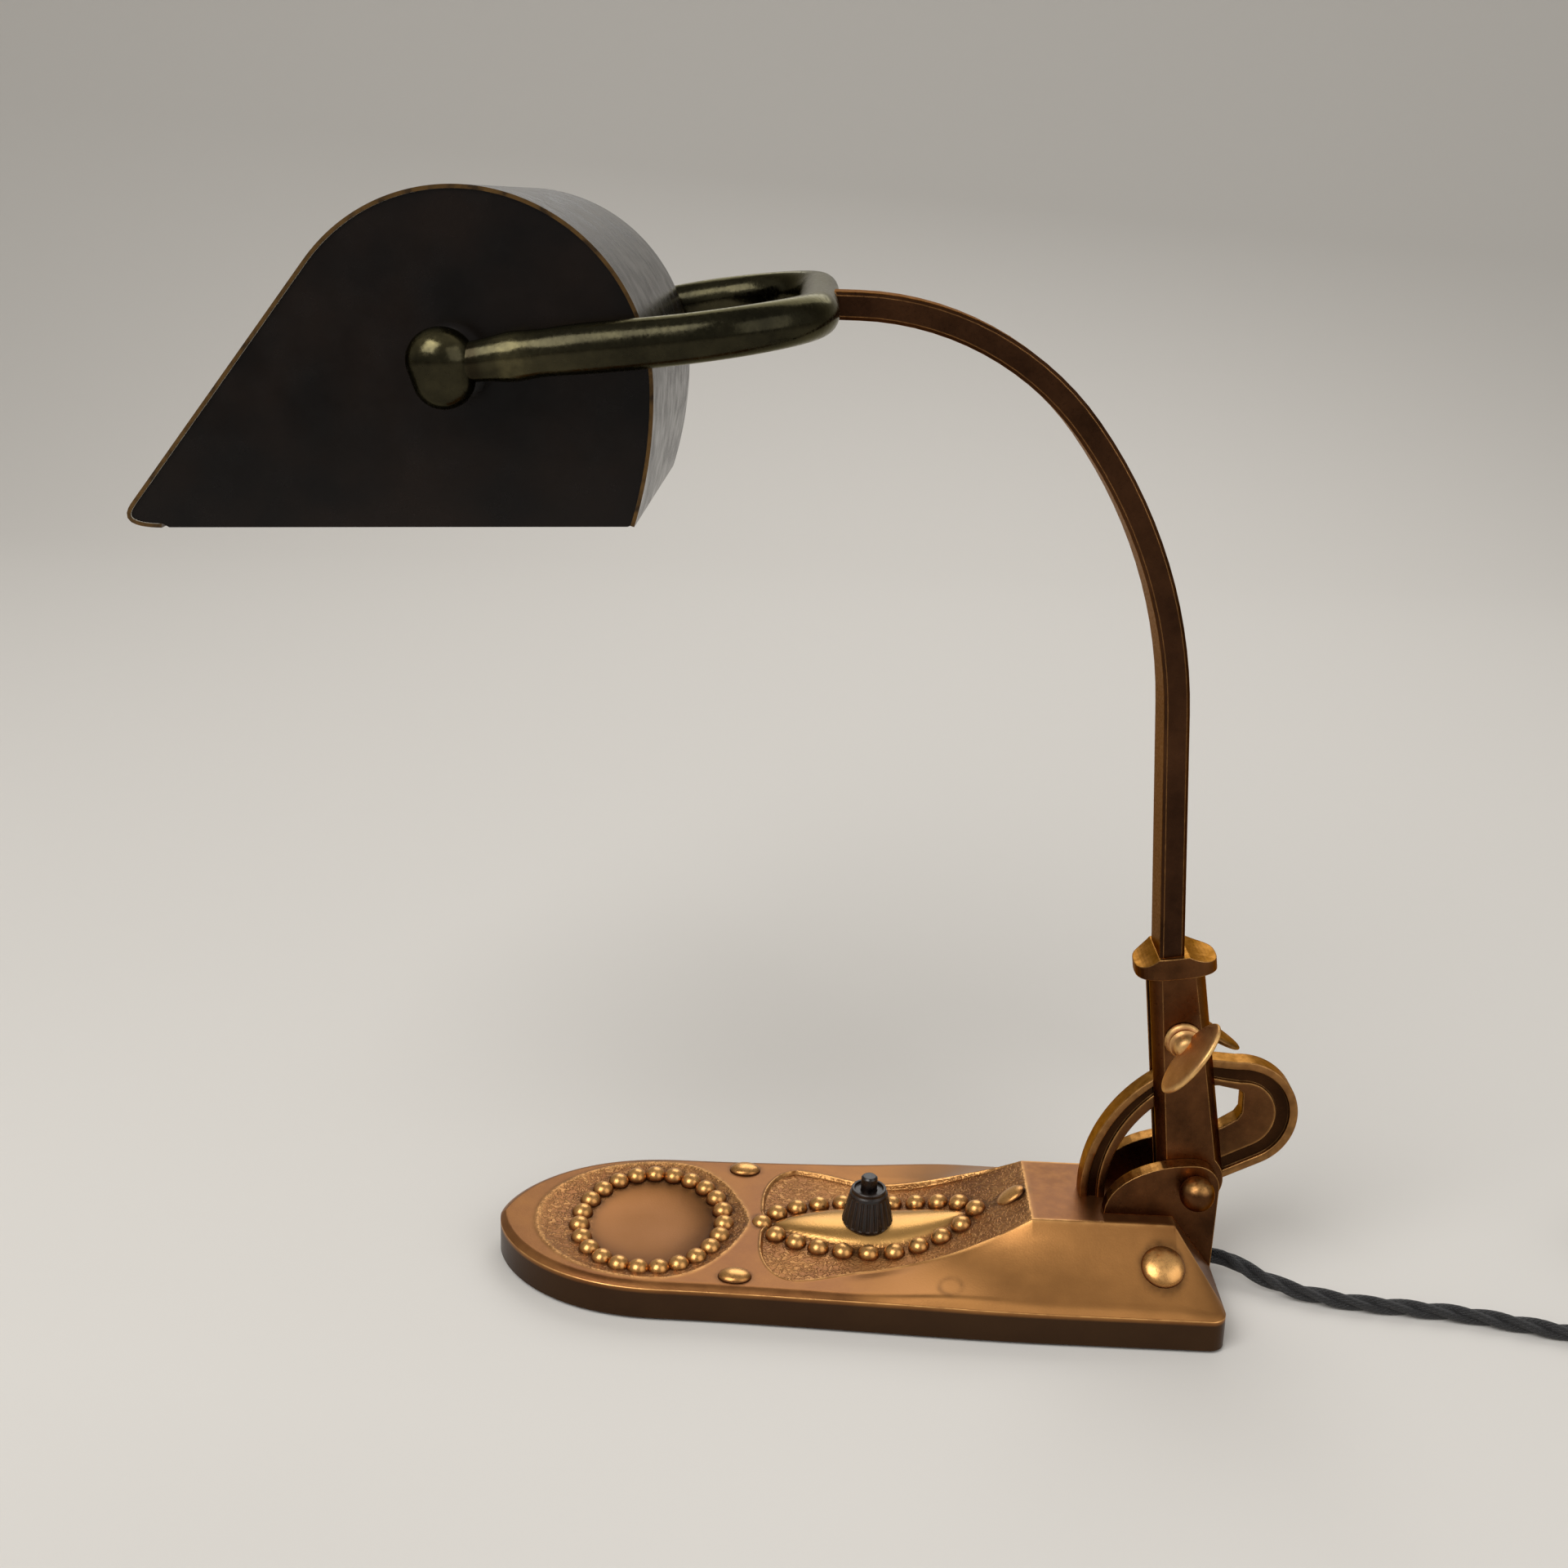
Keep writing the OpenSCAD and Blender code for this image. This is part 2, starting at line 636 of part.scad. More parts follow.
module pivot_pin() {
    color("#7a5532")
        translate([pivot_x, 0, pivot_z])
            rotate([90, 0, 0])
                union() {
                    ball_head();
                    translate([0, 0, -cheek_out - 4])
                        cylinder(d = pin_d, h = 2 * cheek_out + 7);
                }
}
module pivot_cap() {
    color("#7a5532")
        translate([pivot_x, 0, pivot_z])
            rotate([-90, 0, 0])
                difference() {
                    ball_head();
                    cylinder(d = pin_d + 2 * seat_gap, h = cheek_out + 4.1);
                }
}
module cord_bush() {
    color("#1d1916")
        translate([back_x, 0, cord_z])
            rotate([0, 90, 0])
                difference() {
                    union() {
                        translate([0, 0, -12])
                            cylinder(d = bush_d - 2 * seat_gap, h = 13);
                        translate([0, 0, 0.05])
                            cylinder(d1 = bush_d + 3.4, d2 = bush_d + 1.6, h = 2.45);
                    }
                    translate([0, 0, -13])
                        cylinder(d = cord_d - 1, h = 20);
                }
}
// Ring of points about p, square to the direction d, with the first point to the side
function tube_ring(p, d, r, sides) = let(n = d / norm(d), s = cross([0, 0, 1], n), a = s / norm(s), b = cross(n, a))
    [for (j = [0:sides - 1]) p + r * (cos(360 * j / sides) * a - sin(360 * j / sides) * b)];
// Direction of a path at point i
function heading(path, i) = path[min(len(path) - 1, i + 1)] - path[max(0, i - 1)];
// Point between four path points, on a smooth curve
function between(a, b, c, d, t) = 0.5 * (2 * b + (c - a) * t + (2 * a - 5 * b + 4 * c - d) * t * t
    + (3 * b - a - 3 * c + d) * t * t * t);
// Path with each run cut in two or more steps of a smooth curve
function smooth_path(path, steps) = let(n = len(path)) [
    for (i = [0:n - 2], k = [0:steps - 1])
        between(path[max(0, i - 1)], path[i], path[i + 1], path[min(n - 1, i + 2)], k / steps),
    path[n - 1]
];
module tube(path, r, sides) {
    n = len(path);
    skin([
        for (i = [0:n - 1])
            tube_ring(path[i], i == 0 || i == n - 1 ? [1, 0, 0] : heading(path, i), r, sides)
    ]);
}
module cord_lead() {
    color("#151312")
        tube(smooth_path(lead_path, 2), cord_d / 2, 10);
}
// Point on the coil after t loops: in, up a layer over the turning half loop, and out again
function coil_point(t) = let(m = coil_loops / 2, r = coil_r + coil_pitch * abs(t - m), a = 360 * t - 90)
    [coil_x + r * cos(a), coil_y + r * sin(a), floor_z + coil_pitch * ease(part(t, m - 0.25, m + 0.25))];
coil_path = [for (k = [0:24 * coil_loops]) coil_point(k / 24)];
module cord_coil() {
    color("#151312")
        tube(coil_path, cord_d / 2, 6);
}
coil_near = min([
    for (i = [0:len(coil_path) - 1], j = [i + 8:1:len(coil_path) - 1])
        norm(coil_path[i] - coil_path[j])
]) - cord_d;
echo(coil_gap = coil_near);
module cord_tail() {
    color("#151312")
        tube(smooth_path(tail_path, 2), cord_d / 2, 10);
}
module plug_body() {
    r = plug_d / 2;
    color("#1b1817")
        translate([plug_x, plug_y, plug_z])
            rotate([0, 90, 0])
                difference() {
                    rotate_extrude()
                        polygon([
                            [0, 0], [cord_d / 2 + 1.5, 0], [cord_d / 2 + 2.2, 8], [r - 3, 13], [r, 17],
                            [r, plug_len], [0, plug_len]
                        ]);
                    for (s = [-1, 1])
                        translate([0, s * pin_side, plug_len - pin_in])
                            cylinder(d = pin_wide, h = pin_in + 2, $fn = 24);
                }
}
module plug_pins() {
    color("silver")
        translate([plug_x + plug_len - pin_in, plug_y, plug_z])
            for (s = [-1, 1])
                translate([0, s * pin_side, 0])
                    rotate([0, 90, 0])
                        rotate_extrude($fn = 24)
                            polygon([
                                [0, 0], [pin_wide / 2 - seat_gap, 0], [pin_wide / 2 - seat_gap, pin_long],
                                [pin_wide / 3, pin_long + 1], [0, pin_long + 1]
                            ]);
}
// Frame of the leaning arm: origin on the pivot, z along the post
module arm_frame() {
    translate([pivot_x, 0, pivot_z])
        rotate([0, -lean, 0])
            children();
}
module post_half() {
    arm_frame()
        difference() {
            union() {
                intersection() {
                    cylinder(r1 = post_r0, r2 = post_r1, h = collar_w);
                    translate([-30, post_in, -1])
                        cube([60, shell_t, 2 + collar_w]);
                }
                translate([0, post_out, 0])
                    rotate([90, 0, 0])
                        cylinder(r = eye_r, h = shell_t);
            }
            rotate([90, 0, 0])
                cylinder(d = pin_d + 2 * run_gap, h = 60, center = true);
            translate([0, 0, screw_w])
                rotate([90, 0, 0])
                    cylinder(d = wing_shaft_d + 2 * run_gap, h = 60, center = true);
        }
}
module post_near() {
    color("#5a3d26")
        mirror([0, 1, 0])
            post_half();
}
module post_far() {
    color("#5a3d26")
        post_half();
}
// Plan of the collar: a rounded oblong
function collar_plan() = [
    for (t = [0:10:350]) let(c = cos(t), s = sin(t))
        [collar_len / 2 * sign(c) * pow(abs(c), 0.7), collar_wide / 2 * sign(s) * pow(abs(s), 0.7)]
];
// Side of the collar: flat below, swept up to the foot of the bar
function collar_side() = let(end = collar_len / 2 + 1, run = collar_len / 2 - bar_t / 2, rim = 4.2) concat(
    [[end, 0], [-end, 0]],
    [for (k = [0:8]) let(u = k / 8) [u * (run - 1.4) - end, rim + (collar_t - rim) * u * u]],
    [for (k = [8:-1:0]) let(u = k / 8) [end - u * (run + 1.5), rim + (collar_t - rim) * u * u]]
);
module collar() {
    color("#5a3d26")
        arm_frame()
            union() {
                intersection() {
                    translate([0, 0, collar_w])
                        linear_extrude(collar_t)
                            polygon(collar_plan());
                    translate([0, collar_wide, collar_w])
                        rotate([90, 0, 0])
                            linear_extrude(2 * collar_wide)
                                polygon(collar_side());
                }
                translate([-6.5, -sector_t / 2, collar_w - 16])
                    cube([13, sector_t, 17]);
            }
}
// One wing: stepped hub and oval blade, set off along +Z from the post's face
module wing(blade, shift) {
    hub_h = 4;
    union() {
        cylinder(d = wing_shaft_d + 7, h = hub_h);
        cylinder(d = wing_shaft_d + 4, h = hub_h + 4);
        translate([shift, 0, hub_h - 1 + wing_reach / 2])
            rotate([90, 0, 0])
                linear_extrude(wing_t, center = true)
                    polygon([for (t = [0:10:350]) [blade / 2 * cos(t), wing_reach / 2 * sin(t)]]);
    }
}
module wing_frame() {
    arm_frame()
        translate([0, 0, screw_w])
            rotate([0, -47, 0])
                children();
}
module wing_screw() {
    color("#6b4a2e")
        wing_frame()
            rotate([90, 0, 0])
                union() {
                    translate([0, 0, post_out + slide_gap])
                        wing(wing_len, 0);
                    translate([0, 0, -post_out - slide_gap - 7])
                        cylinder(d = wing_shaft_d, h = 2 * post_out + 9);
                }
}
module wing_nut() {
    color("#6b4a2e")
        wing_frame()
            rotate([-90, 0, 0])
                translate([0, 0, post_out + slide_gap])
                    difference() {
                        rotate([0, 0, 86])
                            wing(nut_len, nut_len / 2 - 9);
                        translate([0, 0, -1])
                            cylinder(d = wing_shaft_d + 2 * run_gap, h = 8.2);
                    }
}
// Section of the arm bar, thickness by width, with eased edges
function bar_section(c = 1.2) = let(a = bar_t / 2, b = bar_w / 2)
    [[a, b - c], [a - c, b], [c - a, b], [-a, b - c], [-a, c - b], [c - a, -b], [a - c, -b], [a, c - b]];
// Places along the bar as [u, w, heading]: the straight, the long bend, the upper bend and the neck
function bar_path(steps = 14) = [
    [bar_u, collar_w + 4, head1],
    for (k = [0:steps]) let(h = head1 + turn1 * k / steps)
        [bar_end_u + bend_r1 * (sin(h) - sin(head1)), bar_end_w + bend_r1 * (cos(head1) - cos(h)), h],
    for (k = [1:steps]) let(h = head2 + turn2 * k / steps)
        [mid_u + bend_r2 * (sin(h) - sin(head2)), mid_w + bend_r2 * (cos(head2) - cos(h)), h],
    [fork_u, fork_w, head3]
];
module crossbar(extra) {
    translate([fork_u, 0, fork_w])
        rotate([90, 0, 0])
            cylinder(d = fork_d + extra, h = 2 * (knob_y - fork_corner), center = true);
}
module arm_bar() {
    color("#4f3624")
        arm_frame()
            difference() {
                skin([
                    for (q = bar_path())
                        [for (p = bar_section()) [q[0] + p[0] * sin(q[2]), -p[1], q[1] - p[0] * cos(q[2])]]
                ]);
                translate([-50, -50, collar_top - 20])
                    cube([100, 100, 20]);
                crossbar(2 * seat_gap);
            }
}
module fork() {
    tine = fork_reach - fork_corner - knob_r + 4;
    color("#4a4436")
        arm_frame()
            union() {
                crossbar(0);
                for (s = [0, 1])
                    mirror([0, s, 0])
                        translate([fork_u - fork_corner, knob_y - fork_corner, fork_w]) {
                            rotate_extrude(angle = 90, $fn = 96)
                                translate([fork_corner, 0])
                                    circle(d = fork_d);
                            translate([-tine, fork_corner, 0])
                                rotate([0, 90, 0])
                                    cylinder(d = fork_d, h = tine);
                        }
            }
}
module fork_ferrules() {
    reach = knob_low_r + 0.25;
    color("#8a6a3a")
        arm_frame()
            for (s = [-1, 1])
                translate([knob_u + reach, s * knob_y, fork_w])
                    rotate([0, 90, 0])
                        difference() {
                            rotate_extrude()
                                polygon([
                                    [0, 0], [fork_d / 2 + 0.8, 0], [fork_d / 2 + 1.6, 1], [fork_d / 2 + 1.6, 3],
                                    [fork_d / 2 + 0.8, 4], [0, 4]
                                ]);
                            translate([0, 0, -1])
                                cylinder(d = fork_d + 2 * seat_gap, h = 6);
                        }
}
// Egg profile: two rounds and the straight side that meets both
function egg() = let(b = asin((knob_r - knob_low_r) / knob_span), up = knob_r - sqrt(knob_r * knob_r - 16)) concat(
    [for (i = [0:10]) let(a = 90 - (90 + b) * i / 10) [knob_r * max(0, cos(a)), up + knob_r * sin(a)]],
    [for (i = [0:10]) let(a = -b - (90 - b) * i / 10) [knob_low_r * max(0, cos(a)), up - knob_span + knob_low_r * sin(a)]]
);
module knob() {
    arm_frame()
        translate([knob_u, knob_y, fork_w])
            difference() {
                rotate_extrude()
                    polygon(egg());
                translate([knob_r - 4, 0, 0])
                    rotate([0, 90, 0])
                        cylinder(d = fork_d + 2 * seat_gap, h = 20);
                rotate([90, 0, 0])
                    translate([0, 0, -4])
                        cylinder(d = stud_d + 2 * seat_gap, h = 30);
            }
}
module knob_near() {
    color("#57503c")
        mirror([0, 1, 0])
            knob();
}
module knob_far() {
    color("#57503c")
        knob();
}
nut_t = 4;
nut_y = plate_y - sheet_t - slide_gap - nut_t;
module studs_at(y) {
    arm_frame()
        for (s = [0, 1])
            mirror([0, s, 0])
                translate([knob_u, y, fork_w])
                    rotate([-90, 0, 0])
                        children();
}
module shade_studs() {
    color("gray")
        studs_at(nut_y - 1)
            cylinder(d = stud_d, h = knob_y + 4 - nut_y + 1);
}
module stud_nuts() {
    color("gray")
        studs_at(nut_y)
            difference() {
                cylinder(d = stud_d + 5, h = nut_t, $fn = 6);
                translate([0, 0, -1])
                    cylinder(d = stud_d + 2 * seat_gap, h = nut_t + 2);
            }
}
module stud_washers() {
    color("#8a6a3a")
        studs_at(plate_y + slide_gap)
            difference() {
                cylinder(d = stud_d + 6, h = knob_gap - slide_gap - 0.1);
                translate([0, 0, -1])
                    cylinder(d = stud_d + 2 * seat_gap, h = knob_gap + 2);
            }
}
// Frame of the tilting shade: origin on its pivot
module shade_frame() {
    translate([shade_x, 0, shade_z])
        rotate([0, -tilt, 0])
            children();
}
front_len = sqrt(lip_far * lip_far - shade_r * shade_r);
// Line of the shade's sheet, set in from its outside: back edge, drawn-in back, round top, front to the lip
function sheet_line(set_in) = let(r = shade_r - set_in, b = back_r - set_in, c = [round_a, round_b],
    n = [cos(front_angle), sin(front_angle)], q = [-n[1], n[0]]) concat(
    [for (k = [0:5]) let(t = -back_turn * (1 - k / 6)) c + [shade_r - back_r, 0] + b * [cos(t), sin(t)]],
    [for (k = [0:32]) let(t = front_angle * k / 32) c + r * [cos(t), sin(t)]],
    [c + r * n + front_len * q]
);
function reversed(list) = [for (i = [len(list) - 1:-1:0]) list[i]];
module shade_shell() {
    lip = sheet_line(sheet_t / 2);
    color("#241a14")
        shade_frame()
            translate([0, plate_y, 0])
                rotate([90, 0, 0])
                    union() {
                        linear_extrude(2 * plate_y)
                            polygon(concat(sheet_line(0), reversed(sheet_line(sheet_t))));
                        translate(lip[len(lip) - 1])
                            cylinder(r = sheet_t + 0.3, h = 2 * plate_y);
                    }
}
// Outline of an end plate inside the sheet, open below at the mouth
function plate_outline() = let(line = sheet_line(sheet_t + seat_gap), n = len(line))
    concat([for (i = [0:n - 2]) line[i]], [line[n - 1] + 3 / front_len * (line[n - 2] - line[n - 1])]);
module end_plate() {
    shade_frame()
        difference() {
            translate([0, plate_y, 0])
                rotate([90, 0, 0])
                    linear_extrude(sheet_t)
                        polygon(plate_outline());
            rotate([90, 0, 0])
                cylinder(d = stud_d + 2 * run_gap, h = 2 * shade_len, center = true);
        }
}
module end_plate_near() {
    color("#2a1f18")
        mirror([0, 1, 0])
            end_plate();
}
module end_plate_far() {
    color("#2a1f18")
        end_plate();
}
module bulb_frame(y) {
    shade_frame()
        translate([bulb_a, y, bulb_b])
            rotate([90, 0, 0])
                children();
}
bracket_t = 2;
holder_len = 30;
holder_d = bulb_d - 2;
module bulb_bracket() {
    color("gray")
        bulb_frame(plate_y - sheet_t)
            cylinder(d = holder_d + 6, h = bracket_t);
}
module lamp_holder() {
    color("black")
        bulb_frame(plate_y - sheet_t - bracket_t)
            difference() {
                cylinder(d = holder_d, h = holder_len);
                translate([0, 0, holder_len - 16])
                    cylinder(d = 14 + 2 * seat_gap, h = 20);
            }
}
module bulb() {
    r = bulb_d / 2;
    color("white")
        bulb_frame(plate_y - sheet_t - bracket_t - holder_len + 16)
            rotate_extrude()
                polygon(concat(
                    [[0, 0], [7, 0], [7, 16.3], [r - 3, 22]],
                    [for (t = [-40:20:0]) [r - 3 + 3 * cos(t), 24 + 3 * sin(t)]],
                    [for (t = [0:15:90]) [r * max(0, cos(t)), bulb_len + 10 - r + r * sin(t)]]
                ));
}
base_casting();
bottom_plate();
felt_pad();
bottom_screws();
switch_bezel();
switch_body();
switch_nut();
push_button();
cheek_near();
cheek_far();
sector();
pivot_pin();
pivot_cap();
cord_bush();
cord_lead();
cord_coil();
cord_tail();
plug_body();
plug_pins();
post_near();
post_far();
collar();
wing_screw();
wing_nut();
arm_bar();
fork();
fork_ferrules();
knob_near();
knob_far();
shade_studs();
stud_nuts();
shade_shell();
end_plate_near();
end_plate_far();
stud_washers();
bulb_bracket();
lamp_holder();
bulb();
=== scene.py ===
import math

import bmesh
import bpy
import numpy as np
from mathutils import Matrix


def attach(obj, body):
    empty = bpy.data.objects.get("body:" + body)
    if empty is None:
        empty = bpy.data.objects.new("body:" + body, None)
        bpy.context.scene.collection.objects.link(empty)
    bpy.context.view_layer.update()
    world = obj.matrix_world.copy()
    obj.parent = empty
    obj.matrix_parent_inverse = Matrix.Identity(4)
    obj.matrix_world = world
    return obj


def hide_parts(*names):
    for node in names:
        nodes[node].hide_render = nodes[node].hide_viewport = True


# Notary desk lamp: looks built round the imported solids. Shapes are worked out in millimetres.
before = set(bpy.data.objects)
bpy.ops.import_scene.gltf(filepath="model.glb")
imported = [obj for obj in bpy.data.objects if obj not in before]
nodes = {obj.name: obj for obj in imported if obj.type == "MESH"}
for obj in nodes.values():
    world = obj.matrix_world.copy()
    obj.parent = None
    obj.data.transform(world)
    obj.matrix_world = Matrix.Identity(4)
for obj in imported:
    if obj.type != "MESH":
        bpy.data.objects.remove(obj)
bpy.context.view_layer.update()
mm = 0.001


# quads over a grid of points, rows x columns x 3; wrap joins the last column to the first
def gridPart(points, wrap=False):
    rows, cols = points.shape[:2]
    index = np.arange(rows * cols).reshape(rows, cols)
    if wrap:
        index = np.concatenate([index, index[:, :1]], axis=1)
    quads = np.stack([index[:-1, :-1], index[1:, :-1], index[1:, 1:], index[:-1, 1:]], axis=-1)
    return points.reshape(-1, 3), quads.reshape(-1, 4)


# fan of triangles from a middle point over ring number row of a wrapped grid
def fanPart(points, row, flip=False):
    ring = points[row]
    n = len(ring)
    a = np.arange(n)
    b = (a + 1) % n
    fan = np.stack([b, a, np.full(n, n)] if flip else [a, b, np.full(n, n)], axis=-1)
    return np.concatenate([ring, ring.mean(axis=0, keepdims=True)]), fan


# closed part from a wrapped grid with both ends fanned over
def closedParts(points):
    return [gridPart(points, wrap=True), fanPart(points, 0), fanPart(points, -1, flip=True)]


# one number for each ring of a closed part, laid out as its points are
def ringValues(rows, around):
    rows, fan = np.asarray(rows, float), np.ones(around + 1)
    return np.concatenate([np.repeat(rows, around), fan * rows[0], fan * rows[-1]])


# one mesh object from several parts, in place, doubles merged, riding on its body
def makePiece(name, parts, material, body, standsFor=(), sharpAngle=40, values=None):
    points, faces, start = [], [], 0
    for partPoints, partFaces in parts:
        points.append(partPoints)
        faces += (partFaces + start).tolist()
        start += len(partPoints)
    mesh = bpy.data.meshes.new(name)
    mesh.from_pydata((np.concatenate(points) * mm).tolist(), [], faces)
    for label, numbers in (values or {}).items():
        layer = mesh.attributes.new(label, "FLOAT", "POINT")
        layer.data.foreach_set("value", np.asarray(numbers, np.float32))
    shape = bmesh.new()
    shape.from_mesh(mesh)
    bmesh.ops.remove_doubles(shape, verts=shape.verts, dist=1e-7)
    bmesh.ops.recalc_face_normals(shape, faces=shape.faces)
    shape.to_mesh(mesh)
    shape.free()
    mesh.shade_smooth()
    mesh.set_sharp_from_angle(angle=math.radians(sharpAngle))
    mesh.materials.append(material)
    piece = bpy.data.objects.new(name, mesh)
    bpy.context.scene.collection.objects.link(piece)
    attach(piece, body)
    if standsFor:
        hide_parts(*standsFor)
    return piece


# eased step from 0 to 1 as x goes from a to b
def easeStep(x, a, b):
    t = np.clip((x - a) / (b - a), 0, 1)
    return t * t * (3 - 2 * t)


# bell curve: 1 at 0, falling away over the width
def bell(x, width):
    return np.exp(-((x / width) ** 2))


# vectors brought to length 1
def unit(v):
    return v / np.linalg.norm(v, axis=-1, keepdims=True)


# two directions square to a path at each of its points; the second is the nearest to up
def squareTo(path, up):
    ahead = unit(np.gradient(path, axis=0))
    side = unit(np.cross(up, ahead))
    return side, np.cross(ahead, side)


# points of an upright plane turned by degrees about (x, z): a along it, y across, b up it
def turnedFrame(a, y, b, x, z, degrees):
    c, d = math.cos(math.radians(degrees)), math.sin(math.radians(degrees))
    a, y, b = np.broadcast_arrays(a, y, b)
    return np.stack([x + a * c - b * d, y, z + a * d + b * c], axis=-1)


# curve through knots with slopes taken from the neighbours on each side
def smoothCurve(x, knotX, knotY):
    knotX, knotY = np.asarray(knotX, float), np.asarray(knotY, float)
    slope = np.gradient(knotY, knotX)
    i = np.clip(np.searchsorted(knotX, x) - 1, 0, len(knotX) - 2)
    h = knotX[i + 1] - knotX[i]
    t = np.clip((x - knotX[i]) / h, 0, 1)
    return ((2 * t**3 - 3 * t**2 + 1) * knotY[i] + (t**3 - 2 * t**2 + t) * h * slope[i]
            + (3 * t**2 - 2 * t**3) * knotY[i + 1] + (t**3 - t**2) * h * slope[i + 1])


# camera: it looks down at the lamp from its near side, as the photograph does
cameraSet = {
    "place": (-20.4, -613.3, 392.3),   # mm
    "yaw": -0.0187,                    # radians, right of +Y
    "pitch": 0.3129,                   # radians, below the horizon
    "roll": -0.0349,
    "focal": 2200 / 1920 * 36,         # on a 36 mm square sensor
}


# the camera's axes: turned by yaw, then pitch, then roll
def makeCamera(s):
    yaw, pitch, roll = s["yaw"], s["pitch"], s["roll"]
    ahead = np.array([math.sin(yaw) * math.cos(pitch), math.cos(yaw) * math.cos(pitch), -math.sin(pitch)])
    right = np.array([math.cos(yaw), -math.sin(yaw), 0.0])
    down = np.cross(ahead, right)
    side = right * math.cos(roll) + down * math.sin(roll)
    low = -right * math.sin(roll) + down * math.cos(roll)
    data = bpy.data.cameras.new("lampCamera")
    data.sensor_width = 36
    data.sensor_height = 36
    data.lens = s["focal"]
    data.clip_start, data.clip_end = 0.01, 50
    eye = bpy.data.objects.new("lampCamera", data)
    axes = np.stack([side, -low, -ahead, np.array(s["place"]) * mm], axis=1)
    eye.matrix_world = Matrix([*axes.tolist(), [0, 0, 0, 1]])
    bpy.context.scene.collection.objects.link(eye)
    bpy.context.scene.camera = eye


makeCamera(cameraSet)
print("camera placed")


# sRGB hex to linear RGBA
def colour(code):
    v = np.array([int(code[i:i + 2], 16) for i in (1, 3, 5)]) / 255
    v = np.where(v <= 0.04045, v / 12.92, ((v + 0.055) / 1.055) ** 2.4)
    return (*v.tolist(), 1.0)


# one node with its settings and its inputs: a number or colour is set, a socket is linked
def addNode(tree, kind, inputs=None, **settings):
    node = tree.nodes.new(kind)
    for name, value in settings.items():
        setattr(node, name, value)
    for key, value in (inputs or {}).items():
        if isinstance(value, bpy.types.NodeSocket):
            tree.links.new(value, node.inputs[key])
        else:
            node.inputs[key].default_value = value
    return node


# new material: its tree and its shader, with the plain numbers already on the shader
def startMaterial(name, **numbers):
    material = bpy.data.materials.new(name)
    material.use_nodes = True
    tree = material.node_tree
    shader = tree.nodes["Principled BSDF"]
    for key, value in numbers.items():
        shader.inputs[key].default_value = value
    return material, tree, shader


# position of a point on its piece, which the patterns are laid out by
def objectSpot(tree):
    return addNode(tree, "ShaderNodeTexCoord").outputs["Object"]


# mask that a piece's mesh carries
def carried(tree, name):
    return addNode(tree, "ShaderNodeAttribute", attribute_name=name).outputs["Fac"]


# cloudy noise with a grain in mm
def noise(tree, spot, grain, detail, **more):
    inputs = {"Vector": spot, "Scale": 1 / (grain * mm), "Detail": detail, **more}
    return addNode(tree, "ShaderNodeTexNoise", inputs).outputs["Fac"]


def maths(tree, operation, *terms, clamp=False):
    inputs = dict(enumerate(terms))
    return addNode(tree, "ShaderNodeMath", inputs, operation=operation, use_clamp=clamp).outputs[0]


# a value's range from low to high laid onto another range
def stretched(tree, value, low, high, newLow=0.0, newHigh=1.0):
    inputs = {"Value": value, "From Min": low, "From Max": high, "To Min": newLow, "To Max": newHigh}
    return addNode(tree, "ShaderNodeMapRange", inputs).outputs["Result"]


def mixed(tree, share, under, over):
    return addNode(tree, "ShaderNodeMix", {0: share, 6: under, 7: over}, data_type="RGBA").outputs[2]


# colours along a value, as (position, hex) steps
def toned(tree, value, *steps):
    node = addNode(tree, "ShaderNodeValToRGB", {"Fac": value})
    ramp = node.color_ramp
    while len(ramp.elements) < len(steps):
        ramp.elements.new(0.5)
    for element, (position, code) in zip(ramp.elements, steps):
        element.position = position
        element.color = colour(code)
    return node.outputs["Color"]


# a finish's last links: its colour, its roughness, and a bump with its depth in mm
def closeMaterial(tree, shader, paint, dull, height, strength, depth, rounded=None):
    bump = addNode(tree, "ShaderNodeBump", {"Strength": strength, "Distance": depth * mm, "Height": height})
    if rounded:
        tree.links.new(rounded, bump.inputs["Normal"])
    for key, value in (("Base Color", paint), ("Roughness", dull), ("Normal", bump.outputs["Normal"])):
        if value:
            tree.links.new(value, shader.inputs[key])


# cord: black cloth flex of three strands laid round each other
cordSet = {
    "diameter": 6.5,        # mm
    "strands": 3,
    "lay": 46,              # mm for one turn of a strand
    "press": 0.97,          # how close the strands lie
    "backX": 136.5,         # back of the base
    "exitHeight": 8.2,
    "floor": 3.3,           # centre height on the table
    "coilX": 356, "coilY": 10, "coilR": 28, "coilLoops": 6, "coilPitch": 7.0,
    "plugX": 418, "plugZ": 14,
    "step": 1.9,            # mm between rings
    "around": 30,
}


# smooth curve through route points: each run is a cubic with slopes from the points beside it
def throughPoints(route, steps):
    p = np.concatenate([route[:1], route, route[-1:]])
    t = (np.arange(steps) / steps)[:, None]
    a, b, c, d = (q[:, None, :] for q in (p[:-3], p[1:-2], p[2:-1], p[3:]))
    run = 0.5 * (2 * b + (c - a) * t + (2 * a - 5 * b + 4 * c - d) * t**2 + (3 * b - a - 3 * c + d) * t**3)
    return np.concatenate([run.reshape(-1, 3), route[-1:]])


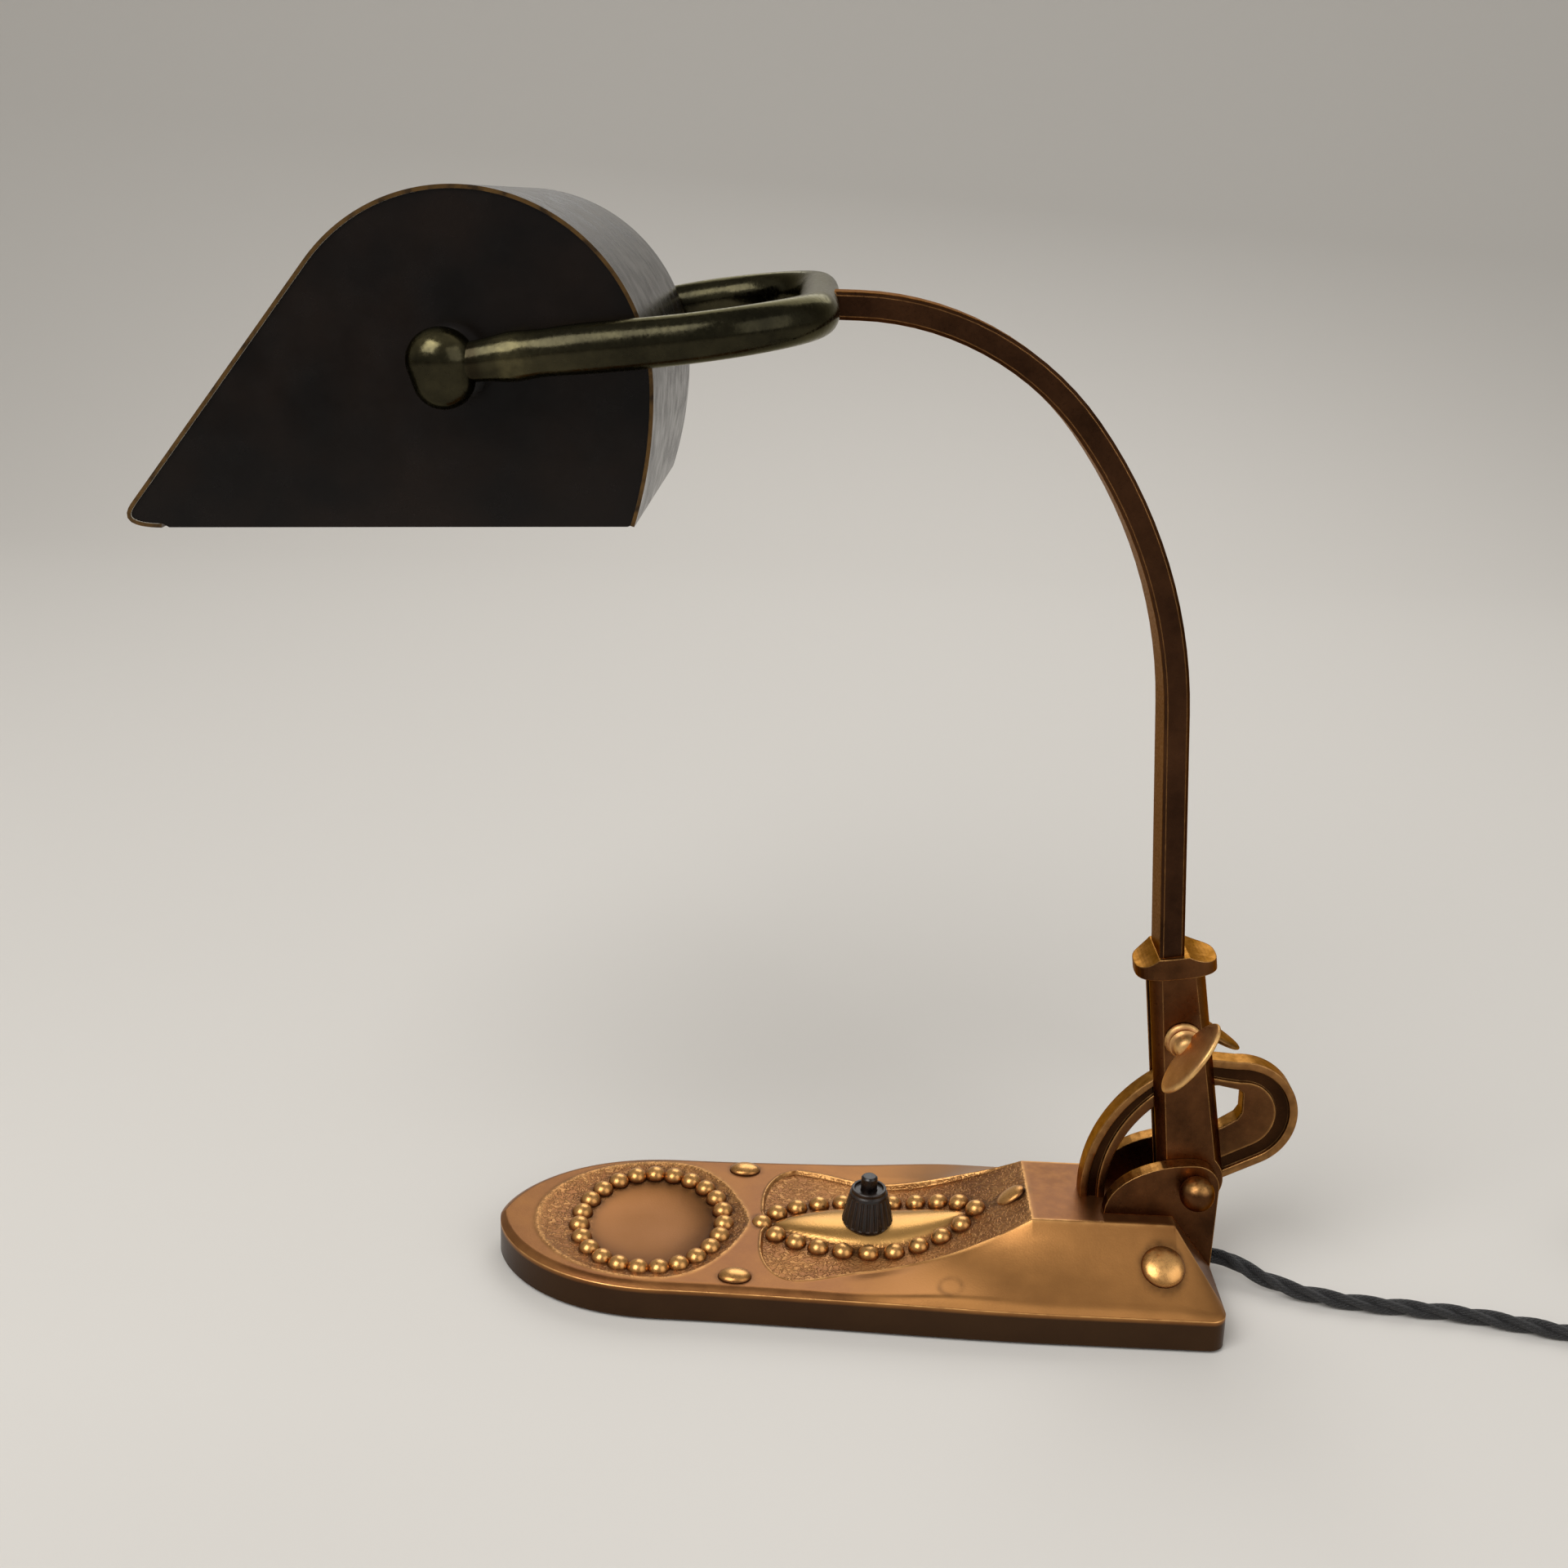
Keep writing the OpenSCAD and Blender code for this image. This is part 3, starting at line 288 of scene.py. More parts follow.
# the cord's centreline: lead on the table, coil in two layers, tail to the plug
def cordLine(s):
    low, pitch, x, y = s["floor"], s["coilPitch"], s["coilX"], s["coilY"]
    leadY = y - s["coilR"] - pitch * s["coilLoops"] / 2
    out = s["exitHeight"]
    lead = np.array([
        [s["backX"] + 2.5, 0, out], [s["backX"] + 9.5, -1, out], [153, -5, 6.4], [161, -10, 5],
        [172, -15, 3.8], [190, -19.5, low], [211, -22, low], [231, -24.5, low], [250, -29, low],
        [266, -33, low], [284, -36.5, low], [305, -38.6, low], [330, leadY, low],
        [x - s["diameter"], leadY, low], [x, leadY, low],
    ])
    half = s["coilLoops"] / 2
    t = np.linspace(0, s["coilLoops"], 48 * s["coilLoops"] + 1)
    r = s["coilR"] + pitch * np.abs(t - half)
    turn = 2 * np.pi * t - np.pi / 2
    climb = pitch * easeStep(t, half - 0.25, half + 0.25)
    coil = np.stack([x + r * np.cos(turn), y + r * np.sin(turn), low + climb], axis=-1)
    tail = np.array([
        [x, leadY, low + pitch], [x + s["diameter"], leadY, low + pitch], [x + 20, leadY - 2.5, 9.5],
        [x + 34, leadY - 6, 10.5], [x + 46, leadY - 9.5, 12.8],
        [s["plugX"] - s["diameter"], leadY - 11, s["plugZ"]], [s["plugX"], leadY - 11, s["plugZ"]],
    ])
    return np.concatenate([throughPoints(lead, 10)[:-1], coil[:-1], throughPoints(tail, 10)])


# points an even distance apart along a line, by their step or by their count
def evenLine(line, step=1, count=0):
    line = np.asarray(line, float)
    run = np.concatenate([[0], np.cumsum(np.linalg.norm(np.diff(line, axis=0), axis=1))])
    at = np.linspace(0, run[-1], count or int(run[-1] / step) + 1)
    return np.stack([np.interp(at, run, line[:, k]) for k in range(line.shape[1])], axis=-1), at


# twisted flex: at each place the section is the outer edge of three round strands, turned by the lay
def makeCord(s, material):
    line, at = evenLine(cordLine(s), s["step"])
    side, up = squareTo(line, [0, 0, 1.0])
    strand = s["diameter"] / 2 / (1 + 2 / math.sqrt(3))
    off = strand * 2 / math.sqrt(3) * s["press"]
    turn = np.linspace(0, 2 * np.pi, s["around"], endpoint=False)[None, :]
    third = 2 * np.pi / s["strands"]
    near = (turn - 2 * np.pi * at[:, None] / s["lay"]) % third - third / 2
    reach = off * np.cos(near) + np.sqrt(np.maximum(strand**2 - (off * np.sin(near))**2, 0.01))
    points = (line[:, None, :] + (reach * np.cos(turn))[..., None] * side[:, None, :]
              + (reach * np.sin(turn))[..., None] * up[:, None, :])
    along, across = np.repeat(at[:, None], s["around"], axis=1), near / third + 0.5
    parts = [gridPart(points[:, ::-1], wrap=True), fanPart(points, 0, flip=True), fanPart(points, -1)]
    values = {k: np.concatenate([v[:, ::-1].ravel(), v[0], [first], v[-1], [last]])
              for k, v, first, last in (("along", along, 0, at[-1]), ("across", across, 0.5, 0.5))}
    piece = makePiece("clothCord", parts, material, "base",
                      ("cord_lead", "cord_coil", "cord_tail"), 80, values)
    print("cord:", round(at[-1]), "mm long,", len(line), "rings")


# beads and bosses: low domes set into the base's top
beadSet = {
    "diameter": 8.5, "ringLength": 56.2, "ringWidth": 67.6, "ringCount": 23,
    "rowWidth": 36, "rowCount": 20,
    "sink": 0.5, "foot": 1.5, "levels": 10, "around": 26, "bossLevels": 18, "bossAround": 44,
}

# base: one cast body with a sunk dish, a stippled panel that sweeps up to a plateau, flanks and a skirt
baseSet = {
    "length": 273, "width": 102, "noseWidth": 93, "noseLength": 68, "noseBlunt": 0.6,
    "skirtHeight": 13, "edgeRun": 3, "edgeR": 0.7, "draft": 1, "groundRise": 1.5, "plateauRise": 21,
    "plateauLength": 69.5, "plateauWidth": 43, "slopeRun": 16.5, "cornerR": 6,
    "felt": 1.2, "plate": 2,
    "dishMargin": 14.6, "dishLength": 82.4, "dishWidth": 83, "dishDepth": 3.6, "bowlDepth": 1.9,
    "dishMidShare": 0.57, "ringShare": 0.54,
    "panelSink": 1.3, "panelWidth": 79, "panelWaist": 65, "lobeStart": 15, "lobeRun": 14,
    "panelGap": 4.9, "switchRun": 41, "sweepRun": 3,
    "almondWidth": 26, "almondHeight": 5, "almondGap": 3.4, "almondBack": 22.5, "rowBack": 18.8,
    "plugX": 36.3, "plugY": -42.5, "plugR": 4.2,
    "pitR": 7.6, "pitZ": 4.2,
}


# places along the base that follow from its sizes
def basePlaces(s):
    p = dict(s)
    p["nose"], p["back"] = -s["length"] / 2, s["length"] / 2
    p["noseEnd"] = p["nose"] + s["noseLength"]
    p["ground"] = s["skirtHeight"] + s["groundRise"]
    p["plateau"] = s["skirtHeight"] + s["plateauRise"]
    p["plateauX0"], p["plateauX1"] = p["back"] - s["plateauLength"], p["back"] - s["slopeRun"]
    p["dishX0"] = p["nose"] + s["dishMargin"]
    p["dishX1"] = p["dishX0"] + s["dishLength"]
    p["dishMid"] = p["dishX0"] + s["dishLength"] * s["dishMidShare"]
    p["ringX"] = p["dishX0"] + s["dishLength"] * s["ringShare"]
    p["panelX0"] = p["dishX1"] + s["panelGap"]
    p["switchX"] = p["panelX0"] + s["switchRun"]
    p["sweepX"] = p["switchX"] + s["sweepRun"]
    p["panelZ"] = p["ground"] - s["panelSink"]
    p["almondX0"], p["almondX1"] = p["panelX0"] + s["almondGap"], p["plateauX0"] - s["almondBack"]
    p["rowX0"], p["rowX1"] = p["panelX0"], p["plateauX0"] - s["rowBack"]
    return p


place = basePlaces(baseSet)


# half width of an oval, u from its widest place to its tip; blunt says how round the tip is
def ovalHalf(u, blunt=0.78):
    return np.maximum(0, 1 - np.minimum(1, np.abs(u)) ** 2.3) ** blunt


# half width of the base's top edge at x: oval nose, slow widening, round rear corners
def edgeHalf(x, p=place):
    nose = p["noseWidth"] / 2 * ovalHalf((p["noseEnd"] - x) / p["noseLength"], p["noseBlunt"])
    widening = easeStep(x, p["noseEnd"], p["plateauX0"] + 9)
    side = p["noseWidth"] / 2 + (p["width"] - p["noseWidth"]) / 2 * widening
    r = p["cornerR"]
    corner = p["width"] / 2 - r + np.sqrt(np.maximum(0, r**2 - (x - p["back"] + r) ** 2))
    return np.where(x < p["noseEnd"], nose, np.where(x < p["back"] - r, side, corner))


# half width of the panel, then of the plateau, then of the rear slope at x
def rimHalf(x, p=place):
    wide, flat, start = p["panelWidth"], p["plateauWidth"] / 2, p["panelX0"]
    panel = smoothCurve(
        x, [start - 6, start + 2, start + 9, start + 18, p["switchX"] - 4, p["plateauX0"] - 22,
            p["plateauX0"]],
        [wide * 0.36, wide * 0.455, wide / 2, wide / 2 - 0.8, p["panelWaist"] / 2, flat + 4.6, flat])
    rear = np.interp(x, [p["plateauX0"], p["plateauX1"], p["back"]],
                     [flat, flat, p["width"] / 2 - p["cornerR"] - 3])
    return np.where(x < p["plateauX0"], panel, rear)


# height of the rim: level ground, a sweep up to the plateau, level, then the slope at the back
def rimHeight(x, p=place):
    rise = np.clip((x - p["switchX"]) / (p["plateauX0"] - p["switchX"]), 0, 1) ** 1.6
    fall = np.clip((x - p["plateauX1"]) / p["slopeRun"], 0, 1)
    rear = p["plateauRise"] * fall * (x >= p["plateauX1"])
    return p["ground"] + (p["plateau"] - p["ground"]) * rise - rear


# height of the panel's floor: level, then a steeper sweep that meets the plateau in a crisp edge
def floorHeight(x, p=place):
    rise = np.clip((x - p["sweepX"]) / (p["plateauX0"] - p["sweepX"]), 0, 1) ** 1.65
    return p["panelZ"] + (p["plateau"] - p["panelZ"]) * rise


# left end of the panel at y: two round lobes that meet in a point at the middle
def panelLeft(y, p=place):
    lobe = np.clip((np.abs(y) - p["lobeStart"]) / (p["panelWidth"] / 2 - p["lobeStart"]), 0, 1)
    return p["panelX0"] + 3 * bell(y, 4.5) + p["lobeRun"] * (1 - np.sqrt(1 - lobe**2))


# share of the way from the dish's middle to its edge: half an ellipse in front, a point towards the switch,
# where the share is found by halving the interval
def dishShare(x, y, p=place):
    ux = np.where(x > p["dishMid"], (x - p["dishMid"]) / (p["dishX1"] - p["dishMid"]),
                  (p["dishMid"] - x) / (p["dishMid"] - p["dishX0"]))
    v = np.abs(y) / (p["dishWidth"] / 2)
    low, high = np.maximum(np.maximum(ux, v), 1e-6), np.full_like(ux, 4.0)
    for _ in range(24):
        k = (low + high) / 2
        inside = v / k <= ovalHalf(ux / k)
        low, high = np.where(inside, low, k), np.where(inside, k, high)
    return np.where(x > p["dishMid"], high, np.hypot(ux, v))


# height of the almond: a crowned boss, its plan two full arcs, its section a flattened round
def almondHeightAt(x, y, p=place):
    mid = (p["almondX0"] + p["almondX1"]) / 2
    u = np.clip((x - mid) / (p["almondX1"] - mid), -1, 1)
    half = np.maximum(p["almondWidth"] / 2 * (1 - np.abs(u) ** 2.2) ** 0.85, 1e-6)
    v = np.minimum(np.abs(y) / half, 1)
    return p["almondHeight"] * (1 - v**2.4) ** 0.75 * (1 - u * u) ** 0.8


# height outside the rim: nearly straight from the rim to a shoulder, then over to the skirt's top edge;
# round the nose it goes over within the edge's run, measured square to the edge
def flankHeight(x, a, p=place):
    s, r, rz = edgeHalf(x), rimHalf(x), rimHeight(x)
    toPlateau = easeStep(x, p["switchX"] - 20, p["plateauX0"])
    drop = rz - p["skirtHeight"]
    shoulder = rz - (drop - np.minimum(1, drop / 2)) * 0.93 * toPlateau
    shoulderY = np.maximum(s - p["edgeRun"], (s + r) / 2)
    t = np.clip((a - r) / np.maximum(shoulderY - r, 0.1), 0, 1)
    swell = 0.10 * toPlateau * (1 - easeStep(x, p["plateauX1"] - 28, p["plateauX1"] - 6))
    flank = rz + (shoulder - rz) * (t + swell * np.sin(np.pi * t))
    edge = np.clip((a - shoulderY) / np.maximum(s - shoulderY, 0.1), 0, 1)
    side = np.where(a <= r, rz, np.where(a <= shoulderY, flank,
                    shoulder + (p["skirtHeight"] - shoulder) * edge**1.5))
    ahead = 0.3
    lean = np.maximum(edgeHalf(x + ahead) - s, 0) / ahead
    nose = np.clip(1 - (s - a) / np.sqrt(1 + lean**2) / p["edgeRun"], 0, 1)
    return np.where(x < p["noseEnd"], rz - drop * nose**1.5, side)


# middle points of all the beads: an oval ring in the dish and an almond row in the panel
def beadSpots(p=place, s=beadSet):
    t = np.linspace(0, 2 * np.pi, s["ringCount"], endpoint=False)
    rx, ry = p["ringX"] + s["ringLength"] / 2 * np.cos(t), s["ringWidth"] / 2 * np.sin(t)
    i = np.arange(s["rowCount"]) / s["rowCount"]
    c = 1 - 4 * np.abs(i - 0.5)
    u = -np.sign(c) * (1 - (1 - np.abs(c)) ** 1.22)
    ax = (p["rowX0"] + p["rowX1"]) / 2 + (p["rowX1"] - p["rowX0"]) / 2 * u
    ay = np.where(i < 0.5, 1, -1) * s["rowWidth"] / 2 * (1 - u * u) ** 0.62
    return rx, ry, ax, ay


# low bosses beside the dish, on the flanks and on the sweep: half length, half width and height of each kind
bossSet = {
    "dish": (6.3, 4.75, 2.6), "dishBack": 3.5, "dishY": 38.4,
    "flank": (8.1, 8.1, 3.2), "flankBack": 5.6, "flankY": 35,
    "sweep": (6.4, 4.8, 2.3), "sweepBack": 6, "sweepTilt": 38,
}


# middle points, half sizes, heights and turns of the bosses
def bossSpots(p=place, s=bossSet):
    slope = math.atan2(p["plateauRise"], p["width"] / 2 - p["plateauWidth"] / 2)
    flankZ = p["plateau"] - (s["flankY"] - p["plateauWidth"] / 2) * math.tan(slope)
    sweepX = p["plateauX0"] - s["sweepBack"]
    spots = [(p["dishX1"] - s["dishBack"], k * s["dishY"], p["ground"], *s["dish"], 0, 0) for k in (-1, 1)]
    spots += [(p["plateauX1"] - s["flankBack"], k * s["flankY"], flankZ, *s["flank"], -k * slope, 0)
              for k in (-1, 1)]
    sweepZ = float(floorHeight(np.array(sweepX)))
    return spots + [(sweepX, 0, sweepZ, *s["sweep"], 0, math.radians(s["sweepTilt"]))]


# height of the whole top at (x, y), with the masks that the finish uses
def baseTop(x, y, p=place, b=beadSet):
    a, r = np.abs(y), rimHalf(x)
    outside = flankHeight(x, a)
    spread = [flankHeight(np.minimum(x + d, p["plateauX1"]), a) for d in np.linspace(-16, 16, 9)]
    share = (easeStep(a - r, 0.2, 6) * easeStep(x, p["switchX"] - 25, p["switchX"] - 2)
             * (1 - easeStep(x, p["plateauX1"] - 14, p["plateauX1"] - 2)))
    outside = outside + (np.mean(spread, axis=0) - outside) * share
    left = panelLeft(y)
    front = x < p["plateauX0"]
    inPanel = easeStep(r - a, 0, 1.0) * easeStep(x, left, left + 1.0) * front
    almond = almondHeightAt(x, y)
    z = outside + (floorHeight(x) + almond - outside) * inPanel
    level = 1 - easeStep(x, p["plateauX0"] - 24, p["plateauX0"] - 8)
    rimLine = bell(r - a - 0.1, 0.7) * easeStep(x, left - 1, left + 1)
    leftLine = bell(x - left - 0.1, 0.7) * (a < r) * front
    z = z + 0.3 * np.maximum(rimLine * front, leftLine) * level
    k = dishShare(x, y)
    z = z - p["dishDepth"] * (1 - np.minimum(k, 1) ** 3)
    lip = bell((k - 1) * 40, 0.8) * (x < p["panelX0"])
    z = z + 0.22 * lip
    bowl = np.hypot((x - p["ringX"]) / (b["ringLength"] / 2 - 4), y / (b["ringWidth"] / 2 - 4))
    z = z - p["bowlDepth"] * (1 - np.minimum(bowl, 1) ** 4)
    pit = 1 - easeStep(np.hypot(x - p["switchX"], y), p["pitR"] - 0.9, p["pitR"])
    z = z + (p["pitZ"] - z) * pit
    ends = np.maximum(bell(x - p["plateauX0"], 0.6), bell(x - p["plateauX1"], 0.6))
    plug = np.hypot(x - p["plugX"], y - p["plugY"])
    masks = {
        "stipple": np.maximum(inPanel * (almond < 0.3), (k < 1) * easeStep(bowl, 0.96, 1.04)),
        "bowl": 1 - easeStep(bowl, 0.92, 1.02),
        "polish": easeStep(almond, 0.3, 1.4) * inPanel,
        "plateau": ((x >= p["plateauX0"]) & (a < r)) * 1.0,
        "flank": ((a > r) & (x > p["switchX"] - 20)) * easeStep(x, p["switchX"] - 20, p["plateauX0"] - 20),
        "wear": np.maximum(np.maximum(rimLine, leftLine) * 0.9, np.maximum(lip * 0.75, ends * (a < r) * 0.9)),
        # dark soiling round the plug's seam, painted shade in the crease along the inner bowl's edge
        "soilAndShade": np.maximum(bell(plug - p["plugR"], 0.7) * 0.8, bell((bowl - 0.97) * 26, 1.4) * 0.5),
    }
    return z, masks


# rows along the base, closer together at the nose, at the panel's two ends and at the rear corners
def baseRows(p=place):
    nose = p["noseEnd"] - p["noseLength"] * (1 - np.linspace(0.03, 1, 74) ** 1.9)
    nose[0] = p["nose"] + 0.02
    parts = [nose, np.linspace(p["noseEnd"], p["panelX0"] - 4, 50)[1:-1],
             np.linspace(p["panelX0"] - 4, p["panelX0"] + 16, 54),
             np.linspace(p["panelX0"] + 16, p["plateauX0"] - 0.7, 112)[1:],
             p["plateauX0"] + np.array([-0.3, 0, 0.3]),
             np.linspace(p["plateauX0"] + 1, p["plateauX1"] - 0.5, 40), [p["plateauX1"]],
             np.linspace(p["plateauX1"] + 0.6, p["back"] - p["cornerR"], 16),
             p["back"] - p["cornerR"] * (1 - np.sin(np.linspace(0, np.pi / 2, 12)[1:]))]
    return np.sort(np.concatenate(parts))


# round blur of a grid of numbers by its neighbours, a few times over
def softened(values, times):
    for _ in range(times):
        v = np.pad(values, 1, mode="edge")
        values = (v[1:-1, 1:-1] * 2 + v[:-2, 1:-1] + v[2:, 1:-1] + v[1:-1, :-2] + v[1:-1, 2:]) / 6
    return values


# painted shade round the feet of beads and bosses: a bell curve of the distance from each foot
def footShade(x, y, b=beadSet):
    rx, ry, ax, ay = beadSpots()
    paintedShade = np.zeros_like(x)
    for cx, cy in zip(np.concatenate([rx, ax]), np.concatenate([ry, ay])):
        away = np.hypot(x - cx, y - cy) - b["diameter"] / 2
        paintedShade = np.maximum(paintedShade, bell(np.maximum(away, 0), 1.3))
    for cx, cy, _, half, wide, *_ in bossSpots():
        away = (np.hypot((x - cx) / half, (y - cy) / wide) - 1) * wide
        paintedShade = np.maximum(paintedShade, 0.8 * bell(np.maximum(away, 0), 0.9))
    return paintedShade


# the casting as closed rings along x: the top across in columns that follow the rim, a rounded edge,
# the leaning skirt and the underside
def makeBase(material, p=place):
    x = baseRows()
    half = edgeHalf(x)
    rim = np.minimum(rimHalf(x), 0.8 * half)
    t, o = np.linspace(0, 1, 62), np.linspace(0, 1, 33)[1:]
    inner = rim[:, None] * (0.3 * t + 0.7 * np.sin(t * np.pi / 2))
    outer = rim[:, None] + (half - rim)[:, None] * (0.4 * o + 0.6 * (1 - np.cos(o * np.pi / 2)))
    right = np.concatenate([inner, outer], axis=1)
    gridY = np.concatenate([-right[:, :0:-1], right], axis=1)
    n = gridY.shape[1]
    gridX = np.repeat(x[:, None], n, axis=1)
    topZ, masks = baseTop(gridX, gridY)
    turn = np.linspace(0, np.pi / 2, 5)[1:]
    er, tall, roof = p["edgeR"], p["skirtHeight"] - p["felt"], p["felt"] + p["plate"]
    outs = np.concatenate([er * np.sin(turn), np.linspace(er, p["draft"], 9)[1:]])
    downs = np.concatenate([er * (1 - np.cos(turn)), np.linspace(er, tall, 9)[1:]])
    outs = outs - er * (1 - np.linspace(0, 1, len(outs)))
    scaleIn = np.minimum(1, half / 6)[:, None]
    wallY = half[:, None] + outs[None, :] * scaleIn
    wallZ = topZ[:, -1:] - downs[None, :] * (topZ[:, -1:] - p["felt"]) / tall
    underY = half[:, None] * np.array([0.94, 0.9, 0.5])[None, :]
    underZ = np.repeat(np.array([[p["felt"], roof, roof]]), len(x), axis=0)
    ringY = np.concatenate([gridY, wallY, underY, -underY[:, ::-1], -wallY[:, ::-1]], axis=1)
    ringZ = np.concatenate([topZ, wallZ, underZ, underZ[:, ::-1], wallZ[:, ::-1]], axis=1)
    ringX = np.repeat(x[:, None], ringY.shape[1], axis=1)
    points = np.stack([ringX, ringY, ringZ], axis=-1)
    masks["soilAndShade"] = np.maximum(masks["soilAndShade"], footShade(gridX, gridY))
    values = {k: np.pad(softened(v, 1), ((0, 0), (0, ringZ.shape[1] - n))) for k, v in masks.items()}
    values["wear"][:, n:n + 3] = values["wear"][:, -3:] = 0.8
    # the skirt's sides, which the finish paints dark as painted shade
    values["skirt"] = np.zeros_like(ringZ)
    values["skirt"][:, n + 4:-4] = 1
    values = {k: np.concatenate([v.ravel(), v[0], [v[0].mean()], v[-1], [v[-1].mean()]])
              for k, v in values.items()}
    makePiece("baseCasting", closedParts(points), material, "base", ("base_casting",), 50,
              values)
    print("base:", len(x), "rings of", ringY.shape[1])


# unit dome: rings from the foot up to the crown on a half ball
def unitDome(levels, around):
    up = np.linspace(0, np.pi / 2 * 0.97, levels)[:, None]
    t = np.linspace(0, 2 * np.pi, around, endpoint=False)[None, :]
    rise = np.repeat(np.sin(up), around, axis=1)
    return np.stack([np.cos(up) * np.cos(t), np.cos(up) * np.sin(t), rise], axis=-1)


# many domes as closed parts, each with a foot sunk into the casting; a spot is x, y, z, half length,
# half width, height, roll about x and tilt about y
def domeParts(spots, s):
    dome = unitDome(s["levels"], s["around"])
    flat = dome[:1] * np.array([1.0, 1.0, 0.0])
    parts = []
    for x, y, z, a, b, h, roll, tilt in spots:
        foot = flat * np.array([a, b, 0.0]) - np.array([0.0, 0.0, s["foot"]])
        q = np.concatenate([foot, dome * np.array([a, b, h])])
        q = np.stack([q[..., 0], q[..., 1] * math.cos(roll) - q[..., 2] * math.sin(roll),
                      q[..., 1] * math.sin(roll) + q[..., 2] * math.cos(roll)], axis=-1)
        q = np.stack([q[..., 0] * math.cos(tilt) - q[..., 2] * math.sin(tilt), q[..., 1],
                      q[..., 0] * math.sin(tilt) + q[..., 2] * math.cos(tilt)], axis=-1)
        q = q + np.array([x, y, z])
        parts += [gridPart(q[:, ::-1], wrap=True), fanPart(q, -1), fanPart(q, 0, flip=True)]
    return parts


# height of each ring above the foot, for the finish: bright crowns and painted shade at the feet
def domeWear(count, s):
    rings = np.concatenate([[0], np.sin(np.linspace(0, np.pi / 2, s["levels"]))])
    fan = np.ones(s["around"] + 1)
    return np.tile(np.concatenate([np.repeat(rings, s["around"]), fan, 0 * fan]), count)


# beads stand square to the panel's floor, so those on the sweep tilt by its climb
def makeOrnament(material, s=beadSet):
    rx, ry, ax, ay = beadSpots()
    r = s["diameter"] / 2
    along = np.linspace(-140, 140, 561)
    climb = np.arctan(np.gradient(floorHeight(along), along))
    tilt = np.concatenate([np.zeros(len(rx)), np.interp(ax, along, climb)])
    beadZ = np.concatenate([baseTop(rx, ry)[0], floorHeight(ax)])
    beads = [(x, y, z - s["sink"], r, r, r, 0, k)
             for x, y, z, k in zip(np.concatenate([rx, ax]), np.concatenate([ry, ay]), beadZ, tilt)]
    bosses, big = bossSpots(), dict(s, levels=s["bossLevels"], around=s["bossAround"])
    for name, spots, sizes in (("baseBeads", beads, s), ("baseBosses", bosses, big)):
        makePiece(name, domeParts(spots, sizes), material, "base", (), 60,
                  {"wear": domeWear(len(spots), sizes)})
    print("ornament:", len(beads), "beads,", len(bosses), "bosses")


# edge mask for the solids: how far a rounded-over normal turns away from the face's own
def edgeMask(tree, radius):
    rounded = addNode(tree, "ShaderNodeBevel", {"Radius": radius * mm}, samples=6).outputs["Normal"]
    face = addNode(tree, "ShaderNodeNewGeometry").outputs["Normal"]
    dot = addNode(tree, "ShaderNodeVectorMath", {0: rounded, 1: face}, operation="DOT_PRODUCT")
    return stretched(tree, dot.outputs["Value"], 0.995, 0.86), rounded


# worn metal: dark patina in a cloudy pattern, rubbed bright along the edges and where the wear mask is set,
# with a painted highlight on faces that look up; dark where the soil-and-shade mask is set, a dark seam at
# joints and painted shade in recesses; glance is the tint it takes at a flat angle
def wornMetal(name, dark, middle, rubbed, roughness, cloud, grit=0.8, edge=0, rubAmount=0.8, topHighlight=0,
              glance="#e3b788", soilShadeCode="#160d08"):
    material, tree, shader = startMaterial(name, **{"Metallic": 1.0, "Specular Tint": colour(glance)})
    coords = addNode(tree, "ShaderNodeTexCoord")
    spot = coords.outputs["Object"]
    tone = toned(tree, noise(tree, spot, cloud, 6.0, Roughness=0.62), (0.32, dark), (0.68, middle))
    rub, rounded = carried(tree, "wear"), None
    if edge:
        mask, rounded = edgeMask(tree, edge)
        rub = maths(tree, "MAXIMUM", rub, mask)
    # painted highlight: faces that look up are lightened golden, up to this share
    if topHighlight:
        facing = addNode(tree, "ShaderNodeSeparateXYZ", {"Vector": coords.outputs["Normal"]})
        rub = maths(tree, "MAXIMUM", rub, stretched(tree, facing.outputs["Z"], 0.35, 0.85, 0.0, topHighlight))
    broken = maths(tree, "MULTIPLY", rub, noise(tree, spot, 3.0, 3.0))
    share = maths(tree, "MULTIPLY", broken, rubAmount * 2, clamp=True)
    paint = mixed(tree, share, tone, colour(rubbed))
    paint = mixed(tree, carried(tree, "soilAndShade"), paint, colour(soilShadeCode))
    fine = noise(tree, spot, grit, 4.0)
    dull = stretched(tree, fine, 0.3, 0.7, roughness - 0.08, roughness + 0.1)
    closeMaterial(tree, shader, paint, dull, fine, 0.12, 0.25, rounded)
    return material


# cast brass, patinated brown and rubbed: warm copper ground, golden lines on the edges, painted shade beside
# the raised work and along the inner bowl's edge, painted shade on the skirt's sides, dark soiling round the
# plug, worm-like punch marks on the stippled grounds
castSet = {
    "ground": "#a5713f", "groundDark": "#7c4e2b", "gold": "#dfa866", "flank": "#b07c45", "plateau": "#7b4f2e",
    # the skirt colour is painted shade for the vertical sides
    "bowl": "#8a5c33", "skirt": "#35261a", "soilAndShade": "#3a2414", "polish": "#d2a05c",
    "cloud": 34, "stipple": 2.4, "patch": 5, "grit": 0.7,   # mm
}


